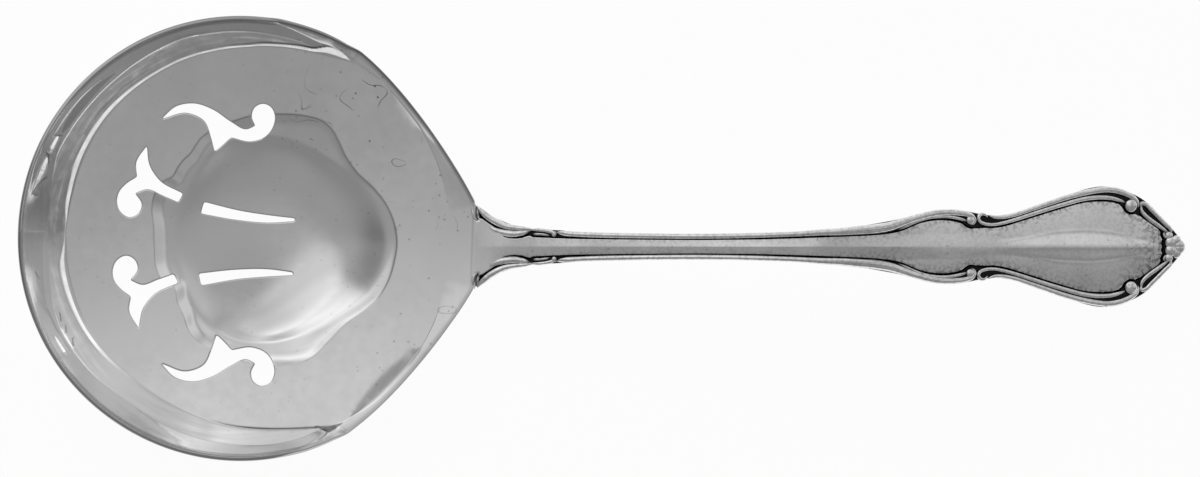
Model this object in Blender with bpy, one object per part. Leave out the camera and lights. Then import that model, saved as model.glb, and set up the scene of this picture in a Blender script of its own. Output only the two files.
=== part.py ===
"""Pierced bonbon spoon: a bowl pressed from sheet, hard-soldered onto a struck handle.

Lengths are in millimetres and angles in degrees, and MM turns them into Blender's metres.
The handle runs along +X and the spoon lies on z = 0. The origin is on the flat under the
bowl's well, on the line of the handle. Plans are drawn from the bowl's centre.
"""

import math

import bmesh
import bpy
import numpy as np
from mathutils import Matrix, Vector

MM = 0.001

# Bowl, in plan
BOWL_RADIUS = 24.25  # outside of the rim
NECK_REACH = 1.25  # from the bowl's circle to the solder joint
NECK_HALF_WIDTH = 4.6  # of the bowl and of the handle's shoulders, at the joint
FLANK_ANGLE = 62.0  # where the flanks leave the circle, from the handle's line
FLANK_FLARE = 63.0  # slant of a flank at the joint, from the handle's line
FLANK_LEAD = 4.5  # reach of the curve handle at the circle
FLANK_TRAIL = 6.5  # reach of the curve handle at the joint
BOWL_TURN = -2.0  # the bowl sits a little askew on the handle

# Bowl, in height: the inside of the sheet
SHEET = 0.9
FLOOR_HEIGHT = 2.9
FLOOR_TILT = 3.0
FLOOR_DISH = 0.8
WALL_ANGLE = 50.0
WALL_WIDTH_FRONT = 5.2
WALL_WIDTH_SIDE = 3.25
WALL_RUN_OUT = 58.0  # where the wall dies into the flank, from the handle's line
WALL_FOOT = 0.22  # softness of the fillet at the foot, as a share of the wall's width
LIP_WIDTH = 1.2
LIP_HEIGHT = 0.4
RIM_ROUND = 0.22

# Well: half its outline from the handle's side round to the front, and its depth
WELL_OUTLINE = (
    (17.0, 0.0),
    (16.2, 3.3),
    (14.5, 5.9),
    (12.3, 8.1),
    (10.6, 10.2),
    (9.2, 12.4),
    (6.2, 13.65),
    (2.4, 13.7),
    (-1.2, 12.8),
    (-4.6, 11.2, "corner"),
    (-7.7, 6.3, "corner"),
    (-9.6, 3.9, "corner"),
    (-9.7, 0.0),
)
STEP_WIDTH = 1.5
STEP_DROP_FRONT = 0.5
STEP_DROP_NECK = 1.3
FLAT_RADIUS = 6.5
FLAT_CENTRE = 3.0

# Piercings: one of each mirrored pair, and its drift from the mirrored place: the +Y one of
# a pair lies that far towards the front, the other one away from it, and both towards -Y
RIM_SCROLL = (
    (-8.5, 13.35, "corner"),
    (-7.0, 14.72),
    (-5.0, 15.1),
    (-3.0, 14.5),
    (-1.0, 13.25),
    (0.7, 12.48),
    (1.72, 12.92, "corner"),
    (1.27, 14.05),
    (2.42, 15.34),
    (3.72, 14.0),
    (3.1, 12.15),
    (1.3, 11.25),
    (-0.95, 11.62, "corner"),
    (-1.7, 10.85),
    (-2.65, 10.0, "corner"),
    (-3.05, 11.4),
    (-3.9, 13.3),
    (-5.8, 14.1),
)
RIM_SCROLL_DRIFT = (0.45, 0.6)
FRONT_SCROLL = (
    (-10.62, 9.9, "corner"),
    (-11.68, 8.0),
    (-11.52, 6.52, "corner"),
    (-12.9, 5.6),
    (-13.62, 3.9),
    (-12.15, 2.1),
    (-10.95, 3.4),
    (-11.75, 4.75, "corner"),
    (-10.4, 5.25),
    (-8.7, 4.62),
    (-7.0, 3.95, "corner"),
    (-6.5, 4.85, "corner"),
    (-9.1, 6.2),
    (-10.25, 7.8),
)
FRONT_SCROLL_DRIFT = (-0.1, 0.2)
SLOT = (
    (-4.35, 3.3, "corner"),
    (-4.05, 4.52, "corner"),
    (0.0, 3.68),
    (3.0, 3.32),
    (5.92, 3.08, "corner"),
    (5.85, 2.8, "corner"),
    (3.0, 2.56),
    (-0.5, 2.75),
)
SLOT_DRIFT = (0.0, 0.7)

# Handle, in plan: each length runs on from the one before, from the joint to the tip
NECK_LENGTH = 10.0
STEM_LENGTH = 29.8
SHOULDER_LENGTH = 11.8
WAIST_LENGTH = 5.6
BLADE_LENGTH = 11.8
TIP_LENGTH = 8.4
NECK_END_HALF_WIDTH = 1.75
STEM_HALF_WIDTH = 1.42
STEM_END_HALF_WIDTH = 1.92
SHOULDER_HALF_WIDTH = 4.08
WAIST_HALF_WIDTH = 3.42
BLADE_HALF_WIDTH = 6.54
TIP_HALF_WIDTH = 0.3

# Handle, in height
ARCH_HEIGHT = 12.8
ARCH_AT = 36.0  # from the joint
ARCH_RISE = 0.14  # slope at the joint
TIP_FALL = 0.12  # slope at the tip
STEM_THICKNESS = 2.4
BLADE_THICKNESS = 1.8
TIP_THICKNESS = 1.4
CROWN = 0.45
BORDER_WIDTH = 1.0
BORDER_HEIGHT = 0.32
GROOVE_DEPTH = 0.22

# Domes at the ends of the border scrolls: distance from a station of the handle, towards
# its tip, inset from the handle's edge, and radius
NECK_VOLUTE = (0.8, 0.65, 0.6)  # from the joint
NECK_BALL = (-1.0, 0.7, 0.42)  # from the end of the neck
SHOULDER_BALL = (2.3, 0.83, 0.5)  # from the end of the shoulder
WAIST_VOLUTE = (-1.4, 0.57, 0.5)  # from the end of the waist
BLADE_BALL = (2.7, 1.27, 0.6)  # from the end of the blade
TIP_VOLUTE = (-1.5, 1.05, 0.4)  # from the tip
TIP_LEAF_AT = -1.0  # from the tip
TIP_LEAF_RADIUS = 0.8
DOME_FLATNESS = 0.75
DOME_SEGMENTS = 10

# Solder joint: the handle's tongue laps under the bowl
SOLDER_GAP = 0.35
HEEL_STEP = 0.15  # from the handle's back up to the back of the tongue
TONGUE_CLEARANCE = 1.6  # from the well's edge
TONGUE_THICKNESS = 0.9
TONGUE_HALF_WIDTH = 3.0
TONGUE_TIP_HALF_WIDTH = 1.2
TONGUE_TIP_THICKNESS = 0.3

# Mesh fineness
BOWL_SPOKES = 84
NECK_SPOKES = 7
CURVE_STEPS = 5

JOINT_X = BOWL_RADIUS + NECK_REACH
TONGUE_DROP = SHEET + SOLDER_GAP  # from the bowl's inside to the face of the tongue


def smooth_line(points, steps, closed=False):
    """Points on cubic curves through the given points. A third value marks a sharp corner."""
    places = np.array([point[:2] for point in points], float)
    count = len(places)
    legs = np.roll(places, -1, axis=0) - places
    spans = np.linalg.norm(legs, axis=1)
    line = []
    for i in range(count if closed else count - 1):
        j = (i + 1) % count
        ends = []
        for k in (i, j):
            at_end = not closed and k in (0, count - 1)
            if at_end or len(points[k]) > 2:
                ends.append(legs[i])
                continue
            before, after = spans[k - 1], spans[k]
            slope = legs[k - 1] / before * after + legs[k] / after * before
            ends.append(slope / (before + after) * spans[i])
        for t in np.arange(steps) / steps:
            line.append(
                (2 * t**3 - 3 * t**2 + 1) * places[i]
                + (t**3 - 2 * t**2 + t) * ends[0]
                + (3 * t**2 - 2 * t**3) * places[j]
                + (t**3 - t**2) * ends[1]
            )
    if not closed:
        line.append(places[-1])
    return np.array(line)


def polar_radius(line, angles):
    """Distance from the bowl's centre to a closed line round it, at the given angles."""
    turns = np.arctan2(line[:, 1], line[:, 0])
    return np.interp(angles, turns, np.hypot(line[:, 0], line[:, 1]), period=2 * math.pi)


def mirrored(half):
    """A closed outline from the half that runs from the handle's line to the handle's line."""
    return half + tuple((point[0], -point[1], *point[2:]) for point in half[-2:0:-1])


def floor_height(x, y):
    """Inside of the bowl's floor, a very shallow dish that rises towards the handle."""
    dish = FLOOR_DISH * (x * x + y * y) / BOWL_RADIUS**2
    return FLOOR_HEIGHT + math.tan(math.radians(FLOOR_TILT)) * x + dish


def bowl_end():
    """The bowl's end face at the joint: its distance from the centre and its corner's angle."""
    reach = JOINT_X - SOLDER_GAP
    return reach, math.atan2(NECK_HALF_WIDTH, reach)


def rim_radius(angles):
    """The rim: a circle, two nearly straight flanks and the end face at the joint."""
    reach, corner = bowl_end()
    turn = math.radians(FLANK_ANGLE)
    flare = math.radians(FLANK_FLARE)
    start = BOWL_RADIUS * np.array((math.cos(turn), math.sin(turn)))
    end = np.array((reach, NECK_HALF_WIDTH))
    lead = start + FLANK_LEAD * np.array((math.sin(turn), -math.cos(turn)))
    trail = end - FLANK_TRAIL * np.array((math.cos(flare), -math.sin(flare)))
    t = np.linspace(0, 1, 25)[:, None]
    u = 1 - t
    flank = u**3 * start + 3 * u**2 * t * lead + 3 * u * t**2 * trail + t**3 * end
    away = np.abs(np.arctan2(np.sin(angles), np.cos(angles)))
    flank_turns = np.arctan2(flank[::-1, 1], flank[::-1, 0])
    radius = np.interp(away, flank_turns, np.hypot(flank[::-1, 0], flank[::-1, 1]))
    radius = np.where(away > turn, BOWL_RADIUS, radius)
    return np.where(away <= corner, reach / np.cos(away), radius)


def bowl_rings():
    """Rings of points on the inside of the bowl, from the rim to the flat of the well."""
    _, corner = bowl_end()
    neck = np.linspace(-corner, corner, NECK_SPOKES)
    rest = np.linspace(corner, 2 * math.pi - corner, BOWL_SPOKES + 2)[1:-1]
    angles = np.concatenate((neck, rest))
    away = np.degrees(np.abs(np.arctan2(np.sin(angles), np.cos(angles))))

    swell = np.clip((away - WALL_RUN_OUT) / (90 - WALL_RUN_OUT), 0, 1)
    wall = WALL_WIDTH_SIDE * np.sin(swell * math.pi / 2)
    wall = wall + (WALL_WIDTH_FRONT - WALL_WIDTH_SIDE) * np.clip((away - 90) / 90, 0, 1)
    lip = LIP_HEIGHT * np.clip(away / math.degrees(corner) - 1, 0, 1)
    tall = wall * math.tan(math.radians(WALL_ANGLE)) + lip
    width = np.hypot(LIP_WIDTH, wall)
    rim = rim_radius(angles) - SHEET * np.sin(np.arctan2(tall, width))
    foot = rim - width

    edge = polar_radius(smooth_line(mirrored(WELL_OUTLINE), CURVE_STEPS, closed=True), angles)
    inset = FLAT_CENTRE * np.sin(angles)
    flat = FLAT_CENTRE * np.cos(angles) + np.sqrt(FLAT_RADIUS**2 - inset**2)

    def ring(radius, lift):
        x = radius * np.cos(angles)
        y = radius * np.sin(angles)
        return np.column_stack((x, y, floor_height(x, y) + lift))

    rings = []
    for u in (1.0, 0.72, 0.48, 0.28, 0.14, 0.0):
        rise = math.hypot(u, WALL_FOOT) - WALL_FOOT
        rise = rise / (math.hypot(1, WALL_FOOT) - WALL_FOOT)
        rings.append(ring(foot + (rim - foot) * u, tall * rise))
    for v in (0.4, 0.8, 1.0):
        rings.append(ring(foot + (edge - foot) * v, 0.0))
    brink = rings[-1]

    front_x = WELL_OUTLINE[-1][0]
    share = (brink[:, 0] - front_x) / (WELL_OUTLINE[0][0] - front_x)
    drop = STEP_DROP_FRONT + (STEP_DROP_NECK - STEP_DROP_FRONT) * share
    step = edge - STEP_WIDTH
    start = brink[:, 2] - drop
    for q in (0.0, 0.2, 0.45, 0.7, 1.0):
        slope = ring(step + (flat - step) * q, 0.0)
        slope[:, 2] = SHEET + (start - SHEET) * (1 - q) ** 2
        rings.append(slope)
    return rings


def handle_stations():
    """Distance from the joint and half width, along the handle."""
    ends = np.cumsum((NECK_LENGTH, STEM_LENGTH, SHOULDER_LENGTH, WAIST_LENGTH, BLADE_LENGTH, TIP_LENGTH))
    neck_end, stem_end, shoulder, waist, blade, tip = ends
    taper = NECK_HALF_WIDTH - NECK_END_HALF_WIDTH
    swell = SHOULDER_HALF_WIDTH - STEM_END_HALF_WIDTH
    spread = BLADE_HALF_WIDTH - WAIST_HALF_WIDTH
    close = BLADE_HALF_WIDTH - TIP_HALF_WIDTH
    points = (
        (0.0, NECK_HALF_WIDTH),
        (0.22 * NECK_LENGTH, NECK_HALF_WIDTH - 0.5 * taper),
        (0.4 * NECK_LENGTH, NECK_HALF_WIDTH - 0.76 * taper),
        (neck_end, NECK_END_HALF_WIDTH),
        (neck_end + 0.5 * STEM_LENGTH, STEM_HALF_WIDTH),
        (stem_end, STEM_END_HALF_WIDTH),
        (stem_end + 0.48 * SHOULDER_LENGTH, STEM_END_HALF_WIDTH + 0.43 * swell),
        (shoulder, SHOULDER_HALF_WIDTH),
        (waist, WAIST_HALF_WIDTH),
        (waist + 0.5 * BLADE_LENGTH, WAIST_HALF_WIDTH + 0.55 * spread),
        (blade, BLADE_HALF_WIDTH),
        (blade + 0.42 * TIP_LENGTH, BLADE_HALF_WIDTH - 0.19 * close),
        (blade + 0.73 * TIP_LENGTH, BLADE_HALF_WIDTH - 0.57 * close),
        (tip, TIP_HALF_WIDTH),
    )
    return smooth_line(points, CURVE_STEPS), ends


def arch_height(along, length):
    """Top of the handle's panel: it rises from the joint to the arch and falls to the tip."""
    start = floor_height(JOINT_X, 0.0)
    if along < ARCH_AT:
        t = along / ARCH_AT
        rise = (t**3 - 2 * t**2 + t) * ARCH_RISE * ARCH_AT
        return (2 * t**3 - 3 * t**2 + 1) * start + rise + (3 * t**2 - 2 * t**3) * ARCH_HEIGHT
    span = length - ARCH_AT
    t = (along - ARCH_AT) / span
    fall = (t**3 - t**2) * -TIP_FALL * span
    return (2 * t**3 - 3 * t**2 + 1) * ARCH_HEIGHT + fall + (3 * t**2 - 2 * t**3) * TIP_THICKNESS


def handle_ring(half, thickness, crown):
    """Section of the handle round from the middle of its face: crowned panel, groove, border, flat back."""
    border = min(BORDER_WIDTH, 0.34 * half)
    scale = border / BORDER_WIDTH
    panel = half - 1.15 * border
    face = (
        (0.0, crown * scale),
        (0.55 * panel, 0.7 * crown * scale),
        (panel, 0.0),
        (half - 0.95 * border, -GROOVE_DEPTH * scale),
        (half - 0.74 * border, 0.6 * BORDER_HEIGHT * scale),
        (half - 0.45 * border, BORDER_HEIGHT * scale),
        (half - 0.15 * border, 0.5 * BORDER_HEIGHT * scale),
        (half, -0.3 * thickness),
    )
    back = (
        (half, -0.65 * thickness),
        (0.8 * half, -0.94 * thickness),
        (0.4 * half, -thickness),
        (0.0, -thickness),
    )
    side = face + back
    return side + tuple((-y, z) for y, z in side[-2:0:-1])


def handle_rings():
    """Rings of points from the tongue's tip under the bowl to the handle's tip."""
    stations, ends = handle_stations()
    length = ends[-1]
    skew = math.tan(math.radians(-BOWL_TURN))
    neck_thickness = TONGUE_DROP + TONGUE_THICKNESS + HEEL_STEP
    thick_at = (0.0, ends[0] + 0.5 * STEM_LENGTH, ends[3], ends[4], length)
    thick = (neck_thickness, STEM_THICKNESS, BLADE_THICKNESS, BLADE_THICKNESS, TIP_THICKNESS)

    tongue_length = JOINT_X - WELL_OUTLINE[0][0] - TONGUE_CLEARANCE
    rings = []
    for t in (1.0, 0.94, 0.7, 0.4, 0.0):
        x = JOINT_X - t * tongue_length
        bulge = math.sqrt(1 - t)
        half = TONGUE_TIP_HALF_WIDTH + (TONGUE_HALF_WIDTH - TONGUE_TIP_HALF_WIDTH) * bulge
        depth = TONGUE_TIP_THICKNESS + (TONGUE_THICKNESS - TONGUE_TIP_THICKNESS) * bulge
        ring = []
        for y, z in handle_ring(1.0, 1.0, 0.0):
            face = floor_height(x, y * half) - TONGUE_DROP
            ring.append((x + skew * y * half, y * half, face - depth * max(0.0, -z - 0.3) / 0.7))
        rings.append(ring)
    for along, half in stations:
        top = arch_height(along, length)
        leave = min(1.0, along / NECK_LENGTH)
        lean = skew * (1 - leave)
        section = handle_ring(half, np.interp(along, thick_at, thick), CROWN * leave)
        rings.append([(JOINT_X + along + lean * y, y, top + z) for y, z in section])
    return rings


def silver(name, shade, roughness):
    """Worn silver of one finish."""
    material = bpy.data.materials.new(name)
    material.use_nodes = True
    shader = material.node_tree.nodes["Principled BSDF"]
    shader.inputs["Base Color"].default_value = (*shade, 1.0)
    shader.inputs["Metallic"].default_value = 1.0
    shader.inputs["Roughness"].default_value = roughness
    return material


def add_object(name, bm, origin):
    """An object whose mesh, drawn in spoon coordinates, is held at the given origin."""
    bmesh.ops.translate(bm, verts=bm.verts, vec=-Vector(origin))
    bmesh.ops.scale(bm, verts=bm.verts, vec=(MM, MM, MM))
    mesh = bpy.data.meshes.new(name)
    bm.to_mesh(mesh)
    bm.free()
    item = bpy.data.objects.new(name, mesh)
    item.location = Vector(origin) * MM
    bpy.context.scene.collection.objects.link(item)
    return item


def lofted(rings, cap_first):
    """A skin over closed rings of points, with a cap on the last ring and, if asked, the first."""
    bm = bmesh.new()
    loops = [[bm.verts.new(point) for point in ring] for ring in rings]
    for upper, lower in zip(loops, loops[1:]):
        for i, vert in enumerate(upper):
            bm.faces.new((upper[i - 1], vert, lower[i], lower[i - 1]))
    bm.faces.new(loops[-1])
    if cap_first:
        bm.faces.new(loops[0])
    bmesh.ops.recalc_face_normals(bm, faces=bm.faces)
    return bm


def hide_tool(item):
    """Mark an object as a shaping tool that is no piece of the spoon."""
    item.hide_render = True
    item.display_type = "WIRE"


def add_cutter(name, outline, drift, flip):
    """A tall prism over one pierced outline, for sawing it out of the sheet."""
    bm = bmesh.new()
    line = smooth_line(outline, CURVE_STEPS, closed=True)
    foot = [bm.verts.new((x - flip * drift[0], flip * y - drift[1], -SHEET)) for x, y in line]
    grown = bmesh.ops.extrude_face_region(bm, geom=[bm.faces.new(foot)])
    top = [item for item in grown["geom"] if isinstance(item, bmesh.types.BMVert)]
    bmesh.ops.translate(bm, verts=top, vec=(0.0, 0.0, ARCH_HEIGHT))
    bmesh.ops.recalc_face_normals(bm, faces=bm.faces)
    cutter = add_object(name, bm, JOINT)
    hide_tool(cutter)
    return cutter


def join_shape(item, tool, operation):
    """Cut a tool from a piece or weld it on."""
    step = item.modifiers.new(tool.name, "BOOLEAN")
    step.operation = operation
    step.solver = "EXACT"
    step.object = tool


def build_bowl():
    """The pressed bowl: sheet of one thickness, rounded rim, three mirrored pairs of piercings."""
    bm = lofted(bowl_rings(), cap_first=False)
    if next(iter(bm.faces)).normal.z < 0:
        bmesh.ops.reverse_faces(bm, faces=bm.faces)
    bowl = add_object("bowl", bm, JOINT)
    bowl.rotation_euler.z = math.radians(BOWL_TURN)
    bowl.data.materials.append(silver("bowl_silver", (0.8, 0.79, 0.77), 0.16))

    sheet = bowl.modifiers.new("sheet", "SOLIDIFY")
    sheet.thickness = SHEET * MM
    sheet.offset = -1.0
    sheet.use_even_offset = True
    rim = bowl.modifiers.new("rim_round", "BEVEL")
    rim.width = RIM_ROUND * MM
    rim.segments = 2
    rim.limit_method = "ANGLE"
    rim.angle_limit = math.radians(60)

    piercings = (
        ("rim_scroll", RIM_SCROLL, RIM_SCROLL_DRIFT),
        ("front_scroll", FRONT_SCROLL, FRONT_SCROLL_DRIFT),
        ("slot", SLOT, SLOT_DRIFT),
    )
    for name, outline, drift in piercings:
        for side, flip in (("upper", 1), ("lower", -1)):
            cutter = add_cutter(f"{name}_{side}", outline, drift, flip)
            cutter.rotation_euler.z = math.radians(BOWL_TURN)
            join_shape(bowl, cutter, "DIFFERENCE")
    return bowl


def dome_spots():
    """Distance from the joint, distance off the handle's line and radius of every dome."""
    stations, ends = handle_stations()
    neck_end, _, shoulder, waist, blade, tip = ends
    pairs = (
        (0.0, NECK_VOLUTE),
        (neck_end, NECK_BALL),
        (shoulder, SHOULDER_BALL),
        (waist, WAIST_VOLUTE),
        (blade, BLADE_BALL),
        (tip, TIP_VOLUTE),
    )
    spots = [(tip + TIP_LEAF_AT, 0.0, TIP_LEAF_RADIUS)]
    for station, (shift, inset, radius) in pairs:
        along = station + shift
        side = np.interp(along, stations[:, 0], stations[:, 1]) - inset
        spots.append((along, side, radius))
        spots.append((along, -side, radius))
    return spots, tip


def add_dome(name, along, side, radius, length):
    """A low round dome on the face of the handle, for the end of a border scroll."""
    bm = bmesh.new()
    place = Matrix.Translation((JOINT_X + along, side, arch_height(along, length)))
    bmesh.ops.create_uvsphere(
        bm,
        u_segments=DOME_SEGMENTS,
        v_segments=DOME_SEGMENTS // 2,
        radius=radius,
        matrix=place @ Matrix.Scale(DOME_FLATNESS, 4, (0.0, 0.0, 1.0)),
    )
    dome = add_object(name, bm, JOINT)
    hide_tool(dome)
    return dome


def build_handle():
    """The struck handle with its tongue, and a dome welded on at the end of each border scroll."""
    bm = lofted(handle_rings(), cap_first=True)
    handle = add_object("handle", bm, JOINT)
    handle.data.materials.append(silver("handle_silver", (0.74, 0.73, 0.7), 0.28))
    spots, length = dome_spots()
    for number, (along, side, radius) in enumerate(spots):
        dome = add_dome(f"dome_{number}", along, side, radius, length)
        join_shape(handle, dome, "UNION")
    return handle


for leftover in list(bpy.data.objects):
    bpy.data.objects.remove(leftover)

JOINT = (JOINT_X, 0.0, floor_height(JOINT_X, 0.0))
build_bowl()
build_handle()
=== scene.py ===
"""Looks of the pierced bonbon spoon: pressed silver bowl, struck scroll-bordered handle.

The spoon's lengths are in millimetres and its angles in degrees, and MM turns lengths into
metres. The handle runs along +X, the spoon lies on z = 0, and plans are drawn from the bowl's
centre. The finishes and the stage are in metres.
"""

import math

import bmesh
import bpy
import numpy as np
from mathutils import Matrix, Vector
from mathutils.geometry import delaunay_2d_cdt


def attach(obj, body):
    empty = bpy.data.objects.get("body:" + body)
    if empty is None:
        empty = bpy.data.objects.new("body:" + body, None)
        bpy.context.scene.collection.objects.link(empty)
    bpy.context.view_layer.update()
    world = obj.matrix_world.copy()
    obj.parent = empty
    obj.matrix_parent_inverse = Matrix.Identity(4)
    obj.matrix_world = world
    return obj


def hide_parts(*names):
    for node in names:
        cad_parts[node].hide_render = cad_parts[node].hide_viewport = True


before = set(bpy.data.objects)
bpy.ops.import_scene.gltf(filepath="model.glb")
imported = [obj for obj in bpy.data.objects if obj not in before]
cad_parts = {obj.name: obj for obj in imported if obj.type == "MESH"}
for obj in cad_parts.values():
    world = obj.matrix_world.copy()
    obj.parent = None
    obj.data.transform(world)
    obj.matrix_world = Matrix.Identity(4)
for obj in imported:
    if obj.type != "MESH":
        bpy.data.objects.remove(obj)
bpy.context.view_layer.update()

MM = 0.001

# Bowl, in plan and in height, as in the solids
BOWL_RADIUS = 24.25
JOINT_X = 25.5
NECK_HALF_WIDTH = 4.6
FLANK_ANGLE = 62.0
FLANK_FLARE = 63.0
FLANK_LEAD = 4.5
FLANK_TRAIL = 6.5
BOWL_TURN = -2.0
SHEET = 0.9
FLOOR_HEIGHT = 2.9
FLOOR_TILT = 3.0
FLOOR_DISH = 0.8
WALL_ANGLE = 50.0
WALL_WIDTH_FRONT = 5.2
WALL_WIDTH_SIDE = 3.25
WALL_RUN_OUT = 59.3
LIP_HEIGHT = 0.12
CORNER = math.atan2(NECK_HALF_WIDTH, JOINT_X)  # turn of the neck's corners
FLOOR_SLOPE = math.tan(math.radians(FLOOR_TILT))

# Slopes of the wall's parts, and its thinned, rolled rim
FOOT_SLOPE = 0.885
GENTLE_SLOPE = 0.78
PATCH_SLOPE = 0.95
LIP_SLOPE = 0.65
LIP_FADE = (0.05, 0.3)  # widths between which the lip comes in
FOOT_BEND, FOOT_ROUND = 0.07, 0.035
STRIP_ROUND = 0.04
LIP_ROUND = 0.12
PATCH_SOFT = 0.03
# softness of the edges of the wall's painted shade patches
WALL_SHADE_SOFT = 0.05
FULL_WALL = 2.4  # on a narrower wall its parts are narrower
LEAST_WALL = 0.75
RIM_LEAN = 1.4
LEAN_HEIGHT = 1.2  # a lower wall leans less
RIM_SHEET = 0.5
RIM_TAPER = 2.4
RIM_ROUND = 0.12
RIM_INSET = 0.05
RIM_LIFT = 0.8
# Section of the rolled rim: place across the sheet, share of the roundness
RIM_SECTION = ((0.94, 0.45), (0.8, 0.85), (0.45, 1.0), (-0.45, 1.0), (-0.8, 0.85), (-0.94, 0.45))
HOLE_EDGE = 0.14
DENT_TILT = 8.0  # shallow outward dents along the flanks

# Tables of the bowl: entries to a degree and over the wall's width, and its share that they cover
TABLE_STEPS = 8
WALL_COLUMNS = 300
WALL_OVERRUN = 1.1
WALL_BLUR = 1.2  # degrees
UNDER_BLUR = 3.0  # the underside is softer: degrees, entries over the width, reach in the well
UNDER_SPREAD = 20
UNDER_SOFT = 0.6
UNDER_TURN = (-0.8, 0.2)  # round the wall's foot, the thickness turns from upright to square

# Bend between the wall's gentle and steep parts: turn, half the distance of its mesh rows
CRISP_BEND = 0.016
SOFT_BEND = 0.02
CRISP_ROUND = 0.003  # half the width of a crisp bend itself
CRISP_LIMIT = 0.0162  # rows closer than this are a plain corner
BENDS = (
    (-180.0, CRISP_BEND),
    (-158.0, CRISP_BEND),
    (-152.0, SOFT_BEND),
    (62.0, SOFT_BEND),
    (66.0, CRISP_BEND),
    (97.0, CRISP_BEND),
    (103.0, SOFT_BEND),
    (157.0, SOFT_BEND),
    (161.0, CRISP_BEND),
    (180.0, CRISP_BEND),
)
# Round the bowl: reach of the wall's foot inside, width of the strip at it, reach of the bend
# between the wall's gentle and steep parts, widths of the ledge at the bend and of the lip
WALL_FEET = (
    (-180.0, 18.95, 0.15, 21.0, 0.0, 0.0),
    (-176.0, 18.98, 0.25, 21.0, 0.0, 0.0),
    (-170.0, 19.05, 0.85, 21.05, 0.0, 0.0),
    (-165.0, 19.05, 0.92, 21.25, 0.0, 0.0),
    (-160.0, 19.1, 0.82, 21.6, 0.0, 0.0),
    (-150.0, 19.2, 0.65, 22.0, 0.0, 0.0),
    (-142.0, 19.15, 0.58, 21.86, 0.05, 0.0),
    (-138.0, 19.12, 0.53, 21.8, 0.14, 0.0),
    (-130.0, 19.05, 0.45, 21.64, 0.14, 0.0),
    (-126.0, 19.07, 0.42, 21.6, 0.04, 0.0),
    (-118.0, 19.15, 0.4, 21.65, 0.0, 0.0),
    (-110.0, 19.37, 0.36, 21.95, 0.0, 0.0),
    (-100.0, 19.78, 0.36, 22.25, 0.0, 0.0),
    (-95.0, 20.15, 0.36, 22.35, 0.0, 0.0),
    (-90.0, 20.38, 0.36, 22.45, 0.0, 0.0),
    (-85.0, 20.6, 0.36, 22.55, 0.0, 0.0),
    (-80.0, 20.87, 0.36, 22.65, 0.0, 0.05),
    (-75.0, 21.22, 0.36, 22.7, 0.0, 0.15),
    (-70.0, 21.67, 0.35, 22.7, 0.0, 0.3),
    (-66.0, 22.15, 0.3, 22.5, 0.0, 0.7),
    (-62.0, 22.7, 0.2, 22.8, 0.0, 0.8),
    (-50.0, 22.9, 0.2, 23.0, 0.0, 0.6),
    (50.0, 22.9, 0.3, 23.0, 0.0, 0.6),
    (58.0, 22.8, 0.4, 23.0, 0.0, 0.9),
    (60.0, 22.65, 0.6, 23.0, 0.0, 0.9),
    (62.0, 22.4, 1.1, 23.0, 0.0, 0.85),
    (65.0, 22.05, 1.35, 23.0, 0.0, 0.8),
    (67.5, 21.87, 1.42, 22.5, 0.0, 0.8),
    (70.0, 21.7, 0.5, 22.35, 0.0, 1.0),
    (75.0, 21.45, 0.45, 22.45, 0.0, 0.74),
    (80.0, 21.2, 0.42, 22.5, 0.0, 0.35),
    (85.0, 21.0, 0.38, 22.55, 0.0, 0.12),
    (90.0, 20.75, 0.34, 22.6, 0.0, 0.0),
    (100.0, 20.5, 0.34, 22.65, 0.0, 0.0),
    (105.0, 20.4, 0.35, 22.65, 0.05, 0.0),
    (110.0, 20.28, 0.36, 22.58, 0.1, 0.0),
    (115.0, 20.12, 0.38, 22.42, 0.12, 0.0),
    (120.0, 19.98, 0.42, 22.26, 0.14, 0.0),
    (130.0, 19.73, 0.56, 22.0, 0.17, 0.0),
    (140.0, 19.52, 0.64, 21.87, 0.2, 0.0),
    (150.0, 19.22, 0.78, 21.85, 0.22, 0.0),
    (156.0, 19.07, 0.8, 21.9, 0.2, 0.0),
    (159.0, 18.98, 0.8, 21.85, 0.0, 0.0),
    (166.0, 18.82, 0.7, 21.4, 0.0, 0.0),
    (171.0, 18.82, 0.58, 21.1, 0.0, 0.0),
    (176.0, 18.9, 0.2, 21.0, 0.0, 0.0),
    (180.0, 18.95, 0.15, 21.0, 0.0, 0.0),
)
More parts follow.
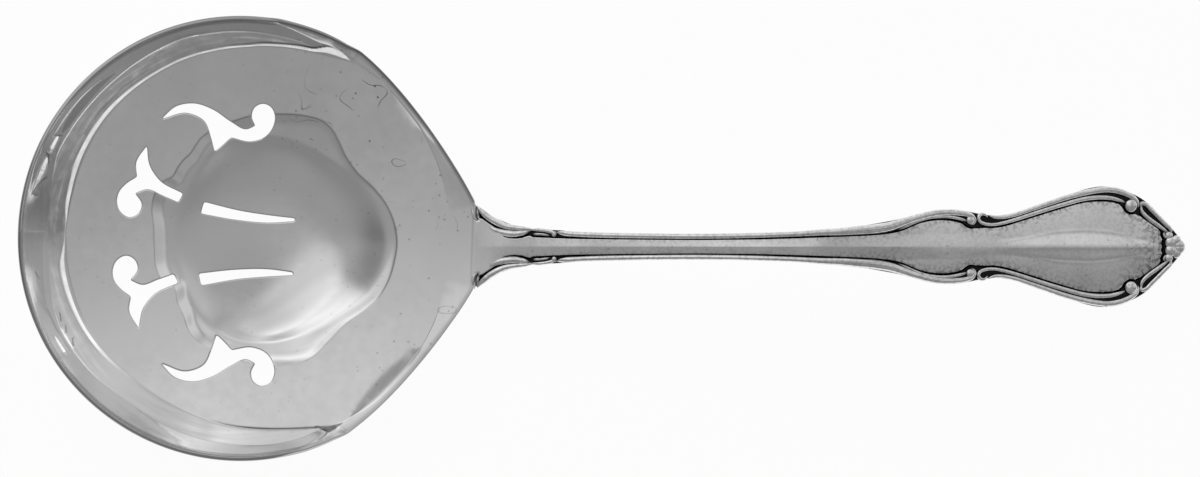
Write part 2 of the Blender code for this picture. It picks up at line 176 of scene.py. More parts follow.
# Marks on the wall. Flattened patches: turn, inner and outer reach. Painted shade patches: strength, and
# the same. Painted shade strokes: strength, width, and a line of turns and reaches
WALL_PATCHES = (
    ((152.4, 22.7, 22.8), (153.2, 22.5, 23.0), (156.6, 22.45, 23.05), (157.8, 22.6, 22.9)),
    (
        (159.0, 22.75, 22.85),
        (160.0, 22.5, 23.05),
        (163.0, 22.35, 23.15),
        (166.0, 22.7, 23.2),
        (170.0, 23.1, 23.22),
    ),
    ((133.0, 22.95, 23.0), (140.0, 23.05, 23.2), (148.0, 23.1, 23.22), (155.0, 23.15, 23.2)),
    ((-150.5, 22.78, 22.84), (-149.0, 22.6, 22.98), (-145.2, 22.52, 23.0), (-144.7, 22.7, 22.85)),
)
WALL_SHADES = (
    (
        0.35,
        (
            (129.0, 22.55, 22.6),
            (133.0, 22.4, 22.8),
            (138.0, 22.25, 22.97),
            (144.0, 22.2, 23.02),
            (149.0, 22.25, 22.85),
            (151.3, 22.5, 22.6),
        ),
    ),
    (
        0.14,
        (
            (70.0, 22.2, 22.25),
            (80.0, 21.7, 22.35),
            (100.0, 20.95, 22.5),
            (115.0, 20.55, 22.25),
            (128.0, 20.4, 20.6),
        ),
    ),
    (0.12, ((165.0, 22.3, 22.4), (170.0, 22.0, 23.0), (176.0, 21.6, 23.5), (180.0, 21.4, 23.5))),
    (0.12, ((-180.0, 21.4, 23.5), (-172.0, 21.6, 23.4), (-164.0, 22.0, 23.2), (-156.0, 22.5, 22.6))),
    (
        0.75,
        (
            (-66.0, 21.95, 22.15),
            (-64.5, 22.3, 22.85),
            (-63.4, 22.5, 23.25),
            (-61.0, 22.75, 23.15),
            (-59.0, 22.93, 22.98),
        ),
    ),
)
WALL_SHADE_STROKES = (
    (0.7, 0.07, ((170.0, 23.2), (167.5, 22.85), (165.5, 22.5), (164.6, 22.15))),
    (0.7, 0.08, ((158.2, 23.0), (158.5, 22.75), (160.5, 22.42))),
    (0.6, 0.06, ((152.7, 23.05), (152.1, 22.5))),
    (0.3, 0.12, ((148.0, 20.45), (140.0, 20.62), (130.0, 20.85), (121.0, 20.95))),
    (0.6, 0.08, ((-168.8, 22.58), (-166.8, 22.38))),
    (0.6, 0.07, ((-155.5, 21.25), (-153.4, 21.46))),
    (0.6, 0.07, ((-151.2, 21.3), (-149.6, 21.5))),
    (0.6, 0.07, ((-147.0, 21.28), (-145.8, 21.5))),
    (0.3, 0.1, ((-158.0, 22.4), (-152.0, 22.3), (-145.0, 22.2))),
    (0.7, 0.08, ((-66.5, 23.5), (-65.0, 23.4), (-64.0, 23.2), (-63.7, 23.0), (-64.4, 22.8))),
)
# Dents of the flanks: from and to which angle, width, distance from the rim
FLANK_DENTS = ((-58.0, -29.0, 0.98, 1.0), (27.0, 50.0, 0.7, 0.3))
# Lines of painted shade on the inside, dark along creases and edges: turn round the well or the bowl,
# strength
WELL_EDGE_LINE = (
    (-180, 0.25),
    (-160, 0.15),
    (-150, 0),
    (-115, 0),
    (-100, 0.2),
    (-60, 0.4),
    (0, 0.45),
    (60, 0.5),
    (90, 0.5),
    (120, 0.4),
    (135, 0.45),
    (150, 0.4),
    (165, 0.3),
    (180, 0.25),
)
STRIP_LINE = (
    (-178, 0),
    (-174, 0.3),
    (-145, 0.3),
    (-135, 0),
    (66, 0),
    (69, 0.95),
    (76, 0.9),
    (88, 0.75),
    (96, 0.3),
    (100, 0.2),
    (165, 0.3),
    (173, 0.3),
    (177, 0),
)
FOOT_LINE = (
    (-179, 0),
    (-176, 0.3),
    (-155, 0.3),
    (-148, 0),
    (-98, 0),
    (-92, 0.6),
    (-85, 1.0),
    (-66, 1.0),
    (-64, 0.8),
    (-62, 0),
)
FLANK_LINE = ((-70, 0), (-60, 0.35), (-12, 0.35), (-10, 0), (10, 0), (12, 0.55), (60, 0.55), (72, 0))
RIM_LINE = ((-160, 0), (-140, 0.4), (-65, 0.4), (-58, 0.2), (58, 0.2), (65, 0.4), (120, 0.3), (150, 0))
# painted shade on the saw cuts' rounded edges
CUT_SHADE = 0.3
# Most worn part of the floor: middle and reach
WORN_SPOT = (13.0, 14.0)
WORN_REACH = (6.5, 6.0)
# Mesh rows: beside the foot, the ledge, the lip and the rim, in marked regions, and round the well
FOOT_ROWS = (-0.45, -0.3, -0.15, -0.05, 0.02, 0.07)
LEDGE_ROWS = (-0.03, 0.04, 0.11)
LIP_ROWS = (-0.12, -0.04, 0.04, 0.13, 0.2)
RIM_ROWS = (0.55, 0.46, 0.38, 0.29, 0.2, 0.12)
REGION_ROWS = ((0, -0.05), (0, 0.04), (0.25, 0), (0.5, 0), (0.75, 0), (1, -0.04), (1, 0.05))
STROKE_ROWS = (-2, -1, 0, 1, 2)
WELL_EDGE_ROWS = (-0.25, -0.14, -0.07, 0.0, 0.07, 0.14, 0.25)
WELL_ROWS = (-0.45, 0.4, 0.55, 0.7, 0.85, 1.0, 1.2, 1.4, 1.6, 1.8, 2.0, 2.2, 2.45, 2.75, 3.1, 3.5)
WALL_POINTS, WELL_EDGE_POINTS, WELL_POINTS = 400, 330, 210
FLOOR_STEP = 0.5
RIM_CLEAR, HOLE_CLEAR, HOLE_ROW = 0.12, 0.14, 0.06

# Well: its outline, and the middle that its profile turns round
WELL_OUTLINE = (
    (17.1, 0.0),
    (16.72, 2.2),
    (15.85, 4.1),
    (14.4, 5.9),
    (12.5, 7.6),
    (11.2, 9.3),
    (10.35, 10.95),
    (9.5, 12.3),
    (8.5, 13.1),
    (6.6, 13.6),
    (3.8, 13.7),
    (1.2, 13.5),
    (-1.2, 12.75),
    (-3.6, 11.6),
    (-4.7, 10.7),
    (-5.2, 9.95),
    (-5.75, 9.05),
    (-6.45, 8.35),
    (-7.05, 7.5),
    (-7.6, 6.5),
    (-8.6, 5.9),
    (-9.45, 4.6),
    (-9.7, 2.7),
    (-9.5, 1.4),
    (-9.3, -1.2),
    (-9.05, -3.4),
    (-8.5, -4.6),
    (-7.0, -5.5),
    (-6.45, -7.4),
    (-5.75, -8.8),
    (-5.1, -10.4),
    (-4.1, -11.5),
    (-3.2, -12.0),
    (-0.6, -13.0),
    (2.4, -13.6),
    (4.6, -13.65),
    (6.5, -13.4),
    (8.3, -12.6),
    (10.0, -10.85),
    (11.85, -8.85),
    (13.9, -7.3),
    (15.35, -5.85),
    (16.35, -4.0),
    (16.9, -1.9),
)
WELL_CENTRE = 2.0
DISH_RADIUS = 11.4
DISH_POWER = 4.0
BED_SLOPE = 0.085  # the dish's bed rises towards the front and one side
BED_TURN = 5.0
BED_START = 3.0
BED_ROUND = 2.0
SHELF_SLOPE = 0.27
WELL_STEPS = 4  # entries to a degree
WELL_COLUMNS = 1000  # entries over the well's reach
WELL_OVERRUN = 1.35
WELL_EDGE_ROUND = 0.06
EDGE_BLUR, BRINK_BLUR, DEPTH_BLUR = 6.0, 4.0, 7.0
# Round the well, from the handle's side to the front: angle, fall of the step below the
# edge, its width, its hollowness, reach of the dish's brink, softness of the brink
WELL_PROFILE = (
    (0.0, 0.05, 0.25, 1.0, 13.4, 1.8),
    (25.0, 0.07, 0.3, 1.0, 12.7, 1.4),
    (42.0, 0.18, 0.8, 1.0, 11.9, 0.7),
    (56.0, 0.26, 1.4, 1.0, 11.45, 0.3),
    (75.0, 0.35, 1.5, 1.0, 11.3, 0.25),
    (95.0, 0.5, 1.4, 1.5, 11.3, 0.3),
    (115.0, 0.46, 1.25, 4.0, 11.0, 0.8),
    (135.0, 0.43, 1.3, 8.0, 9.6, 1.4),
    (155.0, 0.43, 1.3, 8.0, 9.0, 1.5),
    (180.0, 0.46, 1.35, 8.0, 9.0, 1.5),
)

# Piercings: one of each mirrored pair, and its drift from the mirrored place
RIM_SCROLL = (
    (-8.5, 13.35, "corner"),
    (-7.0, 14.72),
    (-5.0, 15.1),
    (-3.0, 14.5),
    (-1.0, 13.25),
    (0.7, 12.48),
    (1.72, 12.92, "corner"),
    (1.27, 13.95),
    (1.6, 14.95),
    (2.45, 15.34),
    (3.35, 14.95),
    (3.75, 14.0),
    (3.6, 12.95),
    (2.85, 11.85),
    (1.3, 11.25),
    (-0.95, 11.62, "corner"),
    (-1.7, 10.85),
    (-2.65, 10.0, "corner"),
    (-3.05, 11.4),
    (-3.9, 13.3),
    (-5.8, 14.1),
)
FRONT_SCROLL = (
    (-10.62, 9.9, "corner"),
    (-11.68, 8.0),
    (-11.52, 6.52, "corner"),
    (-12.75, 5.65),
    (-13.45, 4.75),
    (-13.62, 3.7),
    (-13.15, 2.6),
    (-12.2, 2.12),
    (-11.3, 2.55),
    (-10.95, 3.45),
    (-11.75, 4.75, "corner"),
    (-10.4, 5.25),
    (-8.7, 4.62),
    (-7.0, 3.95, "corner"),
    (-6.5, 4.85, "corner"),
    (-9.1, 6.2),
    (-10.25, 7.8),
)
SLOT = (
    (-4.35, 3.3, "corner"),
    (-4.05, 4.52, "corner"),
    (0.0, 3.68),
    (3.0, 3.32),
    (5.92, 3.08, "corner"),
    (5.85, 2.8, "corner"),
    (3.0, 2.56),
    (-0.5, 2.75),
)
PIERCINGS = ((RIM_SCROLL, (0.45, 0.6)), (FRONT_SCROLL, (-0.1, 0.2)), (SLOT, (0.0, 0.7)))

# Handle: half width at its stations, and its heights, as in the solids
HANDLE_OUTLINE = (
    (25.5, 4.6),
    (27.7, 3.175),
    (29.5, 2.434),
    (35.5, 1.75),
    (50.4, 1.42),
    (65.3, 1.92),
    (70.964, 2.849),
    (77.1, 4.08),
    (82.7, 3.42),
    (88.6, 5.136),
    (94.5, 6.54),
    (98.028, 5.354),
    (100.632, 2.983),
    (102.9, 0.3),
)
TIP_X = 102.9
ARCH_HEIGHT = 12.8
ARCH_AT = 36.0
ARCH_RISE = 0.14
TIP_FALL = 0.12
TIP_HEIGHT = 1.4
HANDLE_THICKNESS = ((25.5, 2.3), (50.4, 2.4), (82.7, 1.8), (94.5, 1.8), (102.9, 1.4))
TONGUE_TIP_X = 18.6
GROOVE_DEPTH = 0.3
GROOVE_START = (25.7, 26.3)
PANEL_BEVEL = (-0.1, 0.12)
STEM_START, STEM_END = (35, 38), (64, 70)
BLADE_START = (72, 86)
SATIN_START = (26, 36)  # the bright neck turns into the satin stem
EDGE_ROUND = 0.14
EDGE_FALL = 0.3
TONGUE_LAP = 0.04
BACK_START = 0.1  # the back begins this far below the face's edge
BORDER_SINK = 0.1  # middles of strands and balls below the face
JOINT_SKEW = math.tan(math.radians(-BOWL_TURN))  # the joint is square to the turned bowl

# Panel along the handle: half width and height of the ridge, height and half width of the crown,
# line and height of the leaf's brim
RIDGE_WIDTH = (
    (25.5, 3),
    (31, 1.4),
    (36, 1),
    (50, 0.85),
    (65, 1.1),
    (72, 1.3),
    (78, 1.3),
    (84, 1.0),
    (89, 1.5),
    (93, 1.65),
    (97, 1.2),
    (100, 0.4),
)
RIDGE_HEIGHT = (
    (25.5, 0),
    (29, 0.04),
    (36, 0.09),
    (50, 0.09),
    (66, 0.1),
    (72, 0.1),
    (77, 0.05),
    (82, 0.04),
    (86, 0.13),
    (90, 0.23),
    (94, 0.23),
    (98, 0.12),
    (100, 0.0),
)
CROWN_HEIGHT = ((70, 0.0), (78, 0.12), (84, 0.1), (92, 0.24), (98, 0.16), (101, 0.02))
CROWN_WIDTH = ((65, 1.1), (72, 2.0), (77, 3.0), (82, 2.1), (90, 4.4), (95, 5.0), (100, 2.0))
BRIM_LINE = ((82, 0.3), (86, 1.0), (89, 1.62), (92, 1.8), (95, 1.55), (98, 0.95), (100, 0.35))
BRIM_HEIGHT = 0.014
BRIM_WIDTH = 0.17

# Half the edge of the handle's raised panel, from the joint to the tip
PANEL_EDGE = (
    (20.0, 3.3),
    (24.6, 3.3),
    (25.7, 3.25),
    (26.4, 3.1),
    (27.2, 2.55),
    (27.9, 2.1),
    (28.35, 1.6),
    (28.8, 1.12),
    (29.3, 1.0),
    (30.0, 0.95),
    (30.7, 1.02),
    (31.3, 1.22),
    (31.6, 1.27),
    (31.9, 1.1),
    (33.2, 1.06),
    (34.2, 1.0),
    (35.2, 0.98),
    (37.0, 0.92),
    (40.0, 0.88),
    (45.0, 0.83),
    (50.0, 0.8),
    (56.6, 0.87),
    (61.0, 1.0),
    (65.4, 1.15),
    (68.0, 1.25),
    (69.3, 1.33),
    (70.5, 1.45),
    (71.5, 1.62),
    (72.3, 1.85),
    (73.0, 2.17),
    (74.0, 2.6),
    (75.0, 2.84),
    (76.0, 2.95),
    (77.0, 2.95),
    (78.0, 2.78),
    (78.7, 2.55),
    (79.1, 2.2),
    (79.5, 2.02),
    (80.2, 2.08),
    (81.2, 2.12),
    (82.0, 2.08),
    (83.0, 2.22),
    (84.0, 2.48),
    (86.0, 3.12),
    (88.0, 3.75),
    (90.0, 4.35),
    (91.0, 4.66),
    (92.0, 4.88),
    (93.0, 4.98),
    (94.0, 4.99),
    (95.0, 4.92),
    (95.7, 4.72),
    (96.1, 4.35),
    (96.4, 3.85),
    (96.9, 3.55),
    (97.5, 3.62),
    (98.0, 3.42),
    (99.0, 2.72),
    (100.0, 2.02),
    (100.3, 1.62),
    (100.26, 1.25),
    (100.52, 0.78),
    (100.36, 0.35),
    (100.5, 0.0),
)

# Scrolls of the border, one of each mirrored pair: x, y, half width, lift of the middle
SCROLLS = (
    # outer and inner strands of the neck
    (
        (25.85, 4.42, 0.1, -0.1),
        (26.1, 4.08, 0.22, -0.06),
        (26.5, 3.68, 0.32, -0.04),
        (27.1, 3.17, 0.36, -0.02),
        (27.8, 2.74, 0.37, 0.0),
        (28.8, 2.28, 0.33, 0.0),
        (30.0, 2.06, 0.28, 0.0),
        (31.0, 1.97, 0.22, -0.02),
        (31.75, 1.88, 0.1, -0.1),
    ),
    (
        (26.6, 2.6, 0.08, -0.1),
        (27.2, 2.15, 0.22, -0.08),
        (28.2, 1.68, 0.36, -0.04),
        (29.2, 1.46, 0.4, 0.0),
        (30.2, 1.43, 0.36, 0.0),
        (31.0, 1.56, 0.27, -0.02),
        (31.65, 1.74, 0.1, -0.1),
    ),
    # volute at the joint
    (
        (25.55, 4.55, 0.08, -0.1),
        (25.4, 4.2, 0.16, -0.02),
        (25.36, 3.75, 0.2, 0.0),
        (25.45, 3.3, 0.2, 0.0),
        (25.8, 2.88, 0.16, -0.04),
        (26.5, 2.5, 0.06, -0.1),
    ),
    # leaf at the end of the neck
    (
        (31.75, 1.4, 0.06, -0.1),
        (32.2, 1.38, 0.13, 0.0),
        (32.8, 1.37, 0.14, 0.0),
        (33.4, 1.28, 0.13, 0.0),
        (34.0, 1.15, 0.06, -0.1),
    ),
    (
        (31.7, 1.84, 0.1, -0.1),
        (32.4, 1.84, 0.18, 0.0),
        (33.2, 1.76, 0.19, 0.0),
        (33.9, 1.62, 0.2, 0.0),
        (34.35, 1.42, 0.12, 0.0),
    ),
    # edge of the stem and of the shoulder, round the shoulder's ball
    (
        (34.5, 1.52, 0.1, -0.1),
        (35.1, 1.47, 0.25, 0.0),
        (37.0, 1.34, 0.29, 0.0),
        (40.0, 1.24, 0.3, 0.0),
        (45.0, 1.16, 0.29, 0.0),
        (50.1, 1.13, 0.29, 0.0),
        (56.6, 1.24, 0.29, 0.0),
        (61.0, 1.4, 0.3, 0.0),
        (63.5, 1.55, 0.36, -0.02),
        (65.4, 1.62, 0.42, -0.05),
        (67.5, 1.78, 0.5, -0.1),
        (69.3, 1.93, 0.55, -0.14),
        (71.0, 2.24, 0.53, -0.13),
        (72.0, 2.57, 0.46, -0.08),
        (72.8, 2.86, 0.41, -0.04),
        (74.5, 3.37, 0.36, 0.0),
        (76.0, 3.67, 0.35, 0.0),
        (77.1, 3.74, 0.34, 0.0),
        (78.2, 3.68, 0.33, 0.0),
        (79.1, 3.54, 0.31, 0.0),
        (79.8, 3.26, 0.25, 0.0),
        (80.02, 2.88, 0.2, 0.0),
        (79.86, 2.5, 0.14, 0.0),
        (79.5, 2.34, 0.07, -0.06),
    ),
    (
        (71.3, 1.72, 0.06, -0.1),
        (72.2, 2.06, 0.12, 0.0),
        (73.0, 2.42, 0.15, 0.0),
        (74.0, 2.86, 0.17, 0.0),
        (75.0, 3.16, 0.2, 0.0),
        (76.0, 3.28, 0.2, 0.0),
        (77.0, 3.28, 0.2, 0.0),
        (78.0, 3.14, 0.2, 0.0),
        (78.7, 2.96, 0.17, 0.0),
        (79.2, 2.8, 0.08, -0.04),
    ),
    # volute of the waist, and the inner strand of the blade that grows out of it
    (
        (81.4, 3.22, 0.07, -0.04),
        (81.12, 3.5, 0.14, 0.0),
        (80.7, 3.52, 0.19, 0.0),
        (80.42, 3.17, 0.2, 0.0),
        (80.55, 2.76, 0.2, 0.0),
        (81.1, 2.5, 0.2, 0.0),
        (82.0, 2.42, 0.2, 0.0),
        (83.0, 2.58, 0.21, 0.0),
        (84.0, 2.84, 0.22, 0.0),
        (86.0, 3.47, 0.24, 0.0),
        (88.0, 4.11, 0.25, 0.0),
        (90.0, 4.71, 0.26, 0.0),
        (92.0, 5.22, 0.27, 0.0),
        (93.0, 5.35, 0.27, 0.0),
        (94.0, 5.38, 0.27, 0.0),
        (95.0, 5.28, 0.25, 0.0),
        (95.8, 5.06, 0.2, 0.0),
        (96.35, 4.85, 0.1, -0.02),
    ),
    # edge of the blade, round the blade's ball
    (
        (81.5, 3.46, 0.07, -0.1),
        (82.0, 3.26, 0.18, 0.0),
        (83.0, 3.2, 0.22, 0.0),
        (84.0, 3.38, 0.24, 0.0),
        (86.0, 4.0, 0.25, 0.0),
        (88.0, 4.68, 0.27, 0.0),
        (90.0, 5.34, 0.3, 0.0),
        (92.0, 5.86, 0.32, 0.0),
        (93.5, 6.13, 0.33, 0.0),
        (94.5, 6.2, 0.34, 0.0),
        (95.5, 6.08, 0.34, 0.0),
        (96.3, 5.84, 0.33, 0.0),
        (97.0, 5.5, 0.31, 0.0),
        (97.6, 5.04, 0.24, 0.0),
        (97.82, 4.55, 0.16, 0.0),
        (97.72, 4.15, 0.07, -0.06),
    ),
    # loop of the tip
    (
        (98.14, 4.3, 0.14, 0.0),
        (98.16, 4.7, 0.19, 0.0),
        (98.62, 4.62, 0.25, 0.0),
        (99.25, 4.02, 0.26, 0.0),
        (100.05, 3.22, 0.26, 0.0),
        (100.8, 2.46, 0.25, 0.0),
        (101.35, 1.86, 0.2, 0.0),
        (101.4, 1.45, 0.1, -0.04),
    ),
    (
        (98.14, 4.34, 0.14, 0.0),
        (98.2, 3.95, 0.2, 0.0),
        (98.5, 3.52, 0.23, 0.0),
        (99.0, 3.06, 0.25, 0.0),
        (100.0, 2.34, 0.24, 0.0),
        (100.6, 1.9, 0.2, 0.0),
        (101.05, 1.55, 0.12, -0.02),
    ),
    (
        (101.55, 1.18, 0.07, -0.04),
        (101.15, 0.98, 0.12, 0.0),
        (100.75, 1.08, 0.15, 0.0),
        (100.62, 1.4, 0.13, 0.0),
        (100.85, 1.58, 0.07, -0.02),
    ),
)

# Cuts of the volutes at the joint, painted dark with oxide and shade, one of each mirrored pair: points,
# width, depth
VOLUTE_CUTS = (
    (((25.74, 4.25), (25.66, 3.65), (25.84, 3.0)), 0.12, 0.2),
    (((26.3, 3.45), (26.75, 3.2)), 0.1, 0.12),
)

# Balls of the border, one of each mirrored pair: x, y, radius
BALLS = (
    (34.25, 1.36, 0.3),
    (79.5, 2.9, 0.5),
    (97.0, 4.46, 0.72),
    (101.15, 1.2, 0.46),
    (101.35, 0.42, 0.66),
    (101.95, 0.68, 0.58),
    (102.25, 0.15, 0.64),
)


def smooth_line(points, steps, closed=False):
    """Points on cubic curves through the given points. A last value in words marks a corner."""
    corners = [isinstance(point[-1], str) for point in points]
    places = np.array([point[: -1 if corner else None] for point, corner in zip(points, corners)], float)
    count = len(places)
    legs = np.roll(places, -1, axis=0) - places
    spans = np.linalg.norm(legs, axis=1)
    line = []
    for i in range(count if closed else count - 1):
        j = (i + 1) % count
        ends = []
        for k in (i, j):
            at_end = not closed and k in (0, count - 1)
            if at_end or corners[k]:
                ends.append(legs[i])
                continue
            before, after = spans[k - 1], spans[k]
            slope = legs[k - 1] / before * after + legs[k] / after * before
            ends.append(slope / (before + after) * spans[i])
        for t in np.arange(steps) / steps:
            line.append(
                (2 * t**3 - 3 * t**2 + 1) * places[i]
                + (t**3 - 2 * t**2 + t) * ends[0]
                + (3 * t**2 - 2 * t**3) * places[j]
                + (t**3 - t**2) * ends[1]
            )
    if not closed:
        line.append(places[-1])
    return np.array(line)


def ease(value, low, high):
    """Smooth rise from 0 at low to 1 at high."""
    t = np.clip((value - low) / (high - low), 0.0, 1.0)
    return t * t * (3 - 2 * t)


def listed(place, table):
    """Values along a table of places and values."""
    return np.interp(place, *zip(*table))


def hump(value, width):
    """A bell-shaped hump round 0."""
    return np.exp(-((value / width) ** 2))


def inside(points, line):
    """Which points lie inside a closed line."""
    within = np.zeros(len(points), bool)
    x, y = points[:, 0], points[:, 1]
    for (ax, ay), (bx, by) in zip(line, np.roll(line, -1, axis=0)):
        if ay == by:
            continue
        crosses = (ay > y) != (by > y)
        within ^= crosses & (x < ax + (y - ay) / (by - ay) * (bx - ax))
    return within


def distance_to_line(points, line):
    """Distance from each point to an open line."""
    nearest = np.full(len(points), np.inf)
    for start, end in zip(line[:-1], line[1:]):
        leg = end - start
        along = np.clip((points - start) @ leg / max(leg @ leg, 1e-12), 0, 1)
        away = points - start - along[:, None] * leg
        nearest = np.minimum(nearest, np.hypot(away[:, 0], away[:, 1]))
    return nearest


# ---------------------------------------------------------------- bowl


def floor_height(x, y):
    """Inside of the bowl's floor, a very shallow dish that rises towards the handle."""
    dish = FLOOR_DISH * (x * x + y * y) / BOWL_RADIUS**2
    return FLOOR_HEIGHT + FLOOR_SLOPE * x + dish


def bowl_tables():
    """Round the bowl: the rim's reach, the wall's foot, height and parts, the flanks' dents."""
    turns = np.linspace(-math.pi, math.pi, 360 * TABLE_STEPS + 1)
    away = np.abs(turns)
    turn, flare = math.radians(FLANK_ANGLE), math.radians(FLANK_FLARE)
    start = BOWL_RADIUS * np.array((math.cos(turn), math.sin(turn)))
    end = np.array((JOINT_X, NECK_HALF_WIDTH))
    lead = start + FLANK_LEAD * np.array((math.sin(turn), -math.cos(turn)))
    trail = end - FLANK_TRAIL * np.array((math.cos(flare), -math.sin(flare)))
    t = np.linspace(0, 1, 200)[:, None]
    u = 1 - t
    flank = u**3 * start + 3 * u**2 * t * lead + 3 * u * t**2 * trail + t**3 * end
    flank = flank[::-1]
    reach = np.interp(away, np.arctan2(flank[:, 1], flank[:, 0]), np.hypot(flank[:, 0], flank[:, 1]))
    reach = np.where(away > turn, BOWL_RADIUS, reach)
    reach = np.where(away <= CORNER, JOINT_X / np.cos(away), reach)

    degrees = np.degrees(away)
    swell = np.clip((degrees - WALL_RUN_OUT) / (90 - WALL_RUN_OUT), 0, 1)
    wall = WALL_WIDTH_SIDE * np.sin(swell * math.pi / 2)
    wall = wall + (WALL_WIDTH_FRONT - WALL_WIDTH_SIDE) * np.clip((degrees - 90) / 90, 0, 1)
    lip = LIP_HEIGHT * np.clip(degrees / math.degrees(CORNER) - 1, 0, 1)
    tall = wall * math.tan(math.radians(WALL_ANGLE)) + lip
    signed = np.degrees(turns)
    place, *columns = zip(*WALL_FEET)
    columns = [np.interp(signed, place, column) for column in columns]
    feet, *parts = (smoothed(column, WALL_BLUR, TABLE_STEPS) for column in columns)
    lean = np.minimum(tall / LEAN_HEIGHT, RIM_LEAN + (LIP_SLOPE - RIM_LEAN) * ease(parts[-1], *LIP_FADE))
    rim = reach - RIM_SHEET * np.sin(np.arctan(lean)) - RIM_INSET * (away > CORNER)
    foot = np.minimum(feet, rim - LEAST_WALL)
    dent, inset = np.zeros_like(turns), np.ones_like(turns)
    for low, high, wide, gap in FLANK_DENTS:
        part = wide * np.sin(np.clip((signed - low) / (high - low), 0, 1) * math.pi)
        dent, inset = np.maximum(dent, part), np.where(part > 0, gap, inset)
    return turns, rim, foot, tall, parts, dent, inset


def smoothed(values, spread, steps):
    """A closed table smoothed over some degrees, with so many entries to a degree."""
    reach = int(3 * spread * steps)
    weights = np.exp(-0.5 * (np.arange(-reach, reach + 1) / (spread * steps)) ** 2)
    ring = np.concatenate((values[-reach - 1 : -1], values, values[1 : reach + 1]))
    return np.convolve(ring, weights / weights.sum(), "valid")


TURNS, RIM, FOOT, TALL, WALL_PARTS, DENT, DENT_INSET = bowl_tables()
WALL_SCALE = np.clip((RIM - FOOT) / FULL_WALL, 0.2, 1)
BEND_ROUND = listed(np.degrees(TURNS), BENDS)


def wall_parts():
    """Where the wall's parts end, outwards from its foot: strip, gentle part, ledge, lip's start."""
    wide = RIM - FOOT
    strip, bend, ledge, lip = WALL_PARTS
    # Where the wall is low or narrow, each part leaves room for the next
    strip = np.minimum(strip * WALL_SCALE, 0.8 * TALL / FOOT_SLOPE)
    lip_start = wide - np.minimum(lip, 0.75 * wide) + 0.15 * (1 - ease(lip, 0.0, 0.1))
    gentle = np.clip(bend - FOOT, strip, np.maximum(strip, lip_start - 0.2))
    return strip, gentle, gentle + ledge * WALL_SCALE, np.maximum(lip_start, gentle + 0.1)


STRIP_END, GENTLE_END, LEDGE_END, LIP_START = wall_parts()


def in_region(turns, reach, line, soft):
    """How far points of the wall lie in a region given by turns, inner and outer reaches."""
    places, inner, outer = zip(*line)
    degrees = np.degrees(turns)
    inner, outer = np.interp(degrees, places, inner), np.interp(degrees, places, outer)
    share = ease(reach, inner - soft, inner + soft) * (1 - ease(reach, outer - soft, outer + soft))
    return share * ((degrees > places[0]) & (degrees < places[-1]))


def wall_table():
    """Rise of the wall over turns round the bowl and shares of its width."""
    wide, tall = (RIM - FOOT)[:, None], TALL[:, None]
    strip, gentle, ledge, lip = (part[:, None] for part in (STRIP_END, GENTLE_END, LEDGE_END, LIP_START))
    bend = np.interp(BEND_ROUND, (CRISP_BEND, SOFT_BEND), (CRISP_ROUND, SOFT_BEND))[:, None]
    far = wide * np.linspace(0, WALL_OVERRUN, round(WALL_OVERRUN * WALL_COLUMNS) + 1)
    outward = (FLOOR_SLOPE * np.cos(TURNS) + 2 * FLOOR_DISH * FOOT / BOWL_RADIUS**2)[:, None]

    # Slopes above the floor's own: strip and ledge, gentle part, lip. The steep part takes the rest
    low = FOOT_SLOPE - outward
    left = np.clip(tall - low * (strip + ledge - gentle), 0, None)
    soft = np.minimum(GENTLE_SLOPE - outward, 0.8 * left / wide)
    high = np.minimum(LIP_SLOPE, left / (wide - strip))
    ends = (
        (FOOT_BEND, FOOT_ROUND),
        (strip, STRIP_ROUND),
        (gentle, bend),
        (ledge, 1.5 * bend),
        (lip, LIP_ROUND),
    )
    bounds = [ease(far, end - half, end + half) for end, half in ends]
    bounds[4] *= ease(WALL_PARTS[3], *LIP_FADE)[:, None]
    shares = [bounds[k] * (1 - bounds[k + 1]) for k in range(4)] + [bounds[4]]
    patch = np.zeros_like(far)
    for line in WALL_PATCHES:
        patch = np.maximum(patch, in_region(TURNS[:, None], FOOT[:, None] + far, line, PATCH_SOFT))
    slope = low * shares[0] + soft * shares[1] + low * shares[2] + high * shares[4]
    slope = slope * (1 - patch) + (PATCH_SLOPE - outward) * patch
    steep = shares[3] * (1 - patch)

    step = wide / WALL_COLUMNS
    on_wall = slice(1, WALL_COLUMNS + 1)
    rest = tall - np.sum(slope[:, on_wall], axis=1, keepdims=True) * step
    steep_width = np.sum(steep[:, on_wall], axis=1, keepdims=True) * step
    main = np.clip(rest / np.maximum(steep_width, 0.02), 0, 4)
    rise = np.cumsum(slope + main * steep, axis=1)
    return rise / np.maximum(rise[:, WALL_COLUMNS, None], 1e-9) * tall


def softened(table):
    """The wall's rise without its flats and crisp bends, for the sheet's underside."""
    table = np.column_stack([smoothed(column, UNDER_BLUR, TABLE_STEPS) for column in table.T])
    reach = 3 * UNDER_SPREAD
    weights = np.exp(-0.5 * (np.arange(-reach, reach + 1) / UNDER_SPREAD) ** 2)
    before = np.zeros((len(table), reach))
    after = table[:, -1:] + (table[:, -1:] - table[:, -2:-1]) * np.arange(1, reach + 1)
    rows = np.hstack((before, table, after))
    return np.array([np.convolve(row, weights / weights.sum(), "valid") for row in rows])


WALL_RISES = {"inside": wall_table()}
WALL_RISES["underside"] = softened(WALL_RISES["inside"])


def looked_up(table, row, column):
    """Values between the entries of a table."""
    row = np.clip(row, 0, table.shape[0] - 1.001)
    column = np.clip(column, 0, table.shape[1] - 1.001)
    i, j = row.astype(int), column.astype(int)
    v, w = row - i, column - j
    low = table[i, j] * (1 - w) + table[i, j + 1] * w
    return low * (1 - v) + (table[i + 1, j] * (1 - w) + table[i + 1, j + 1] * w) * v


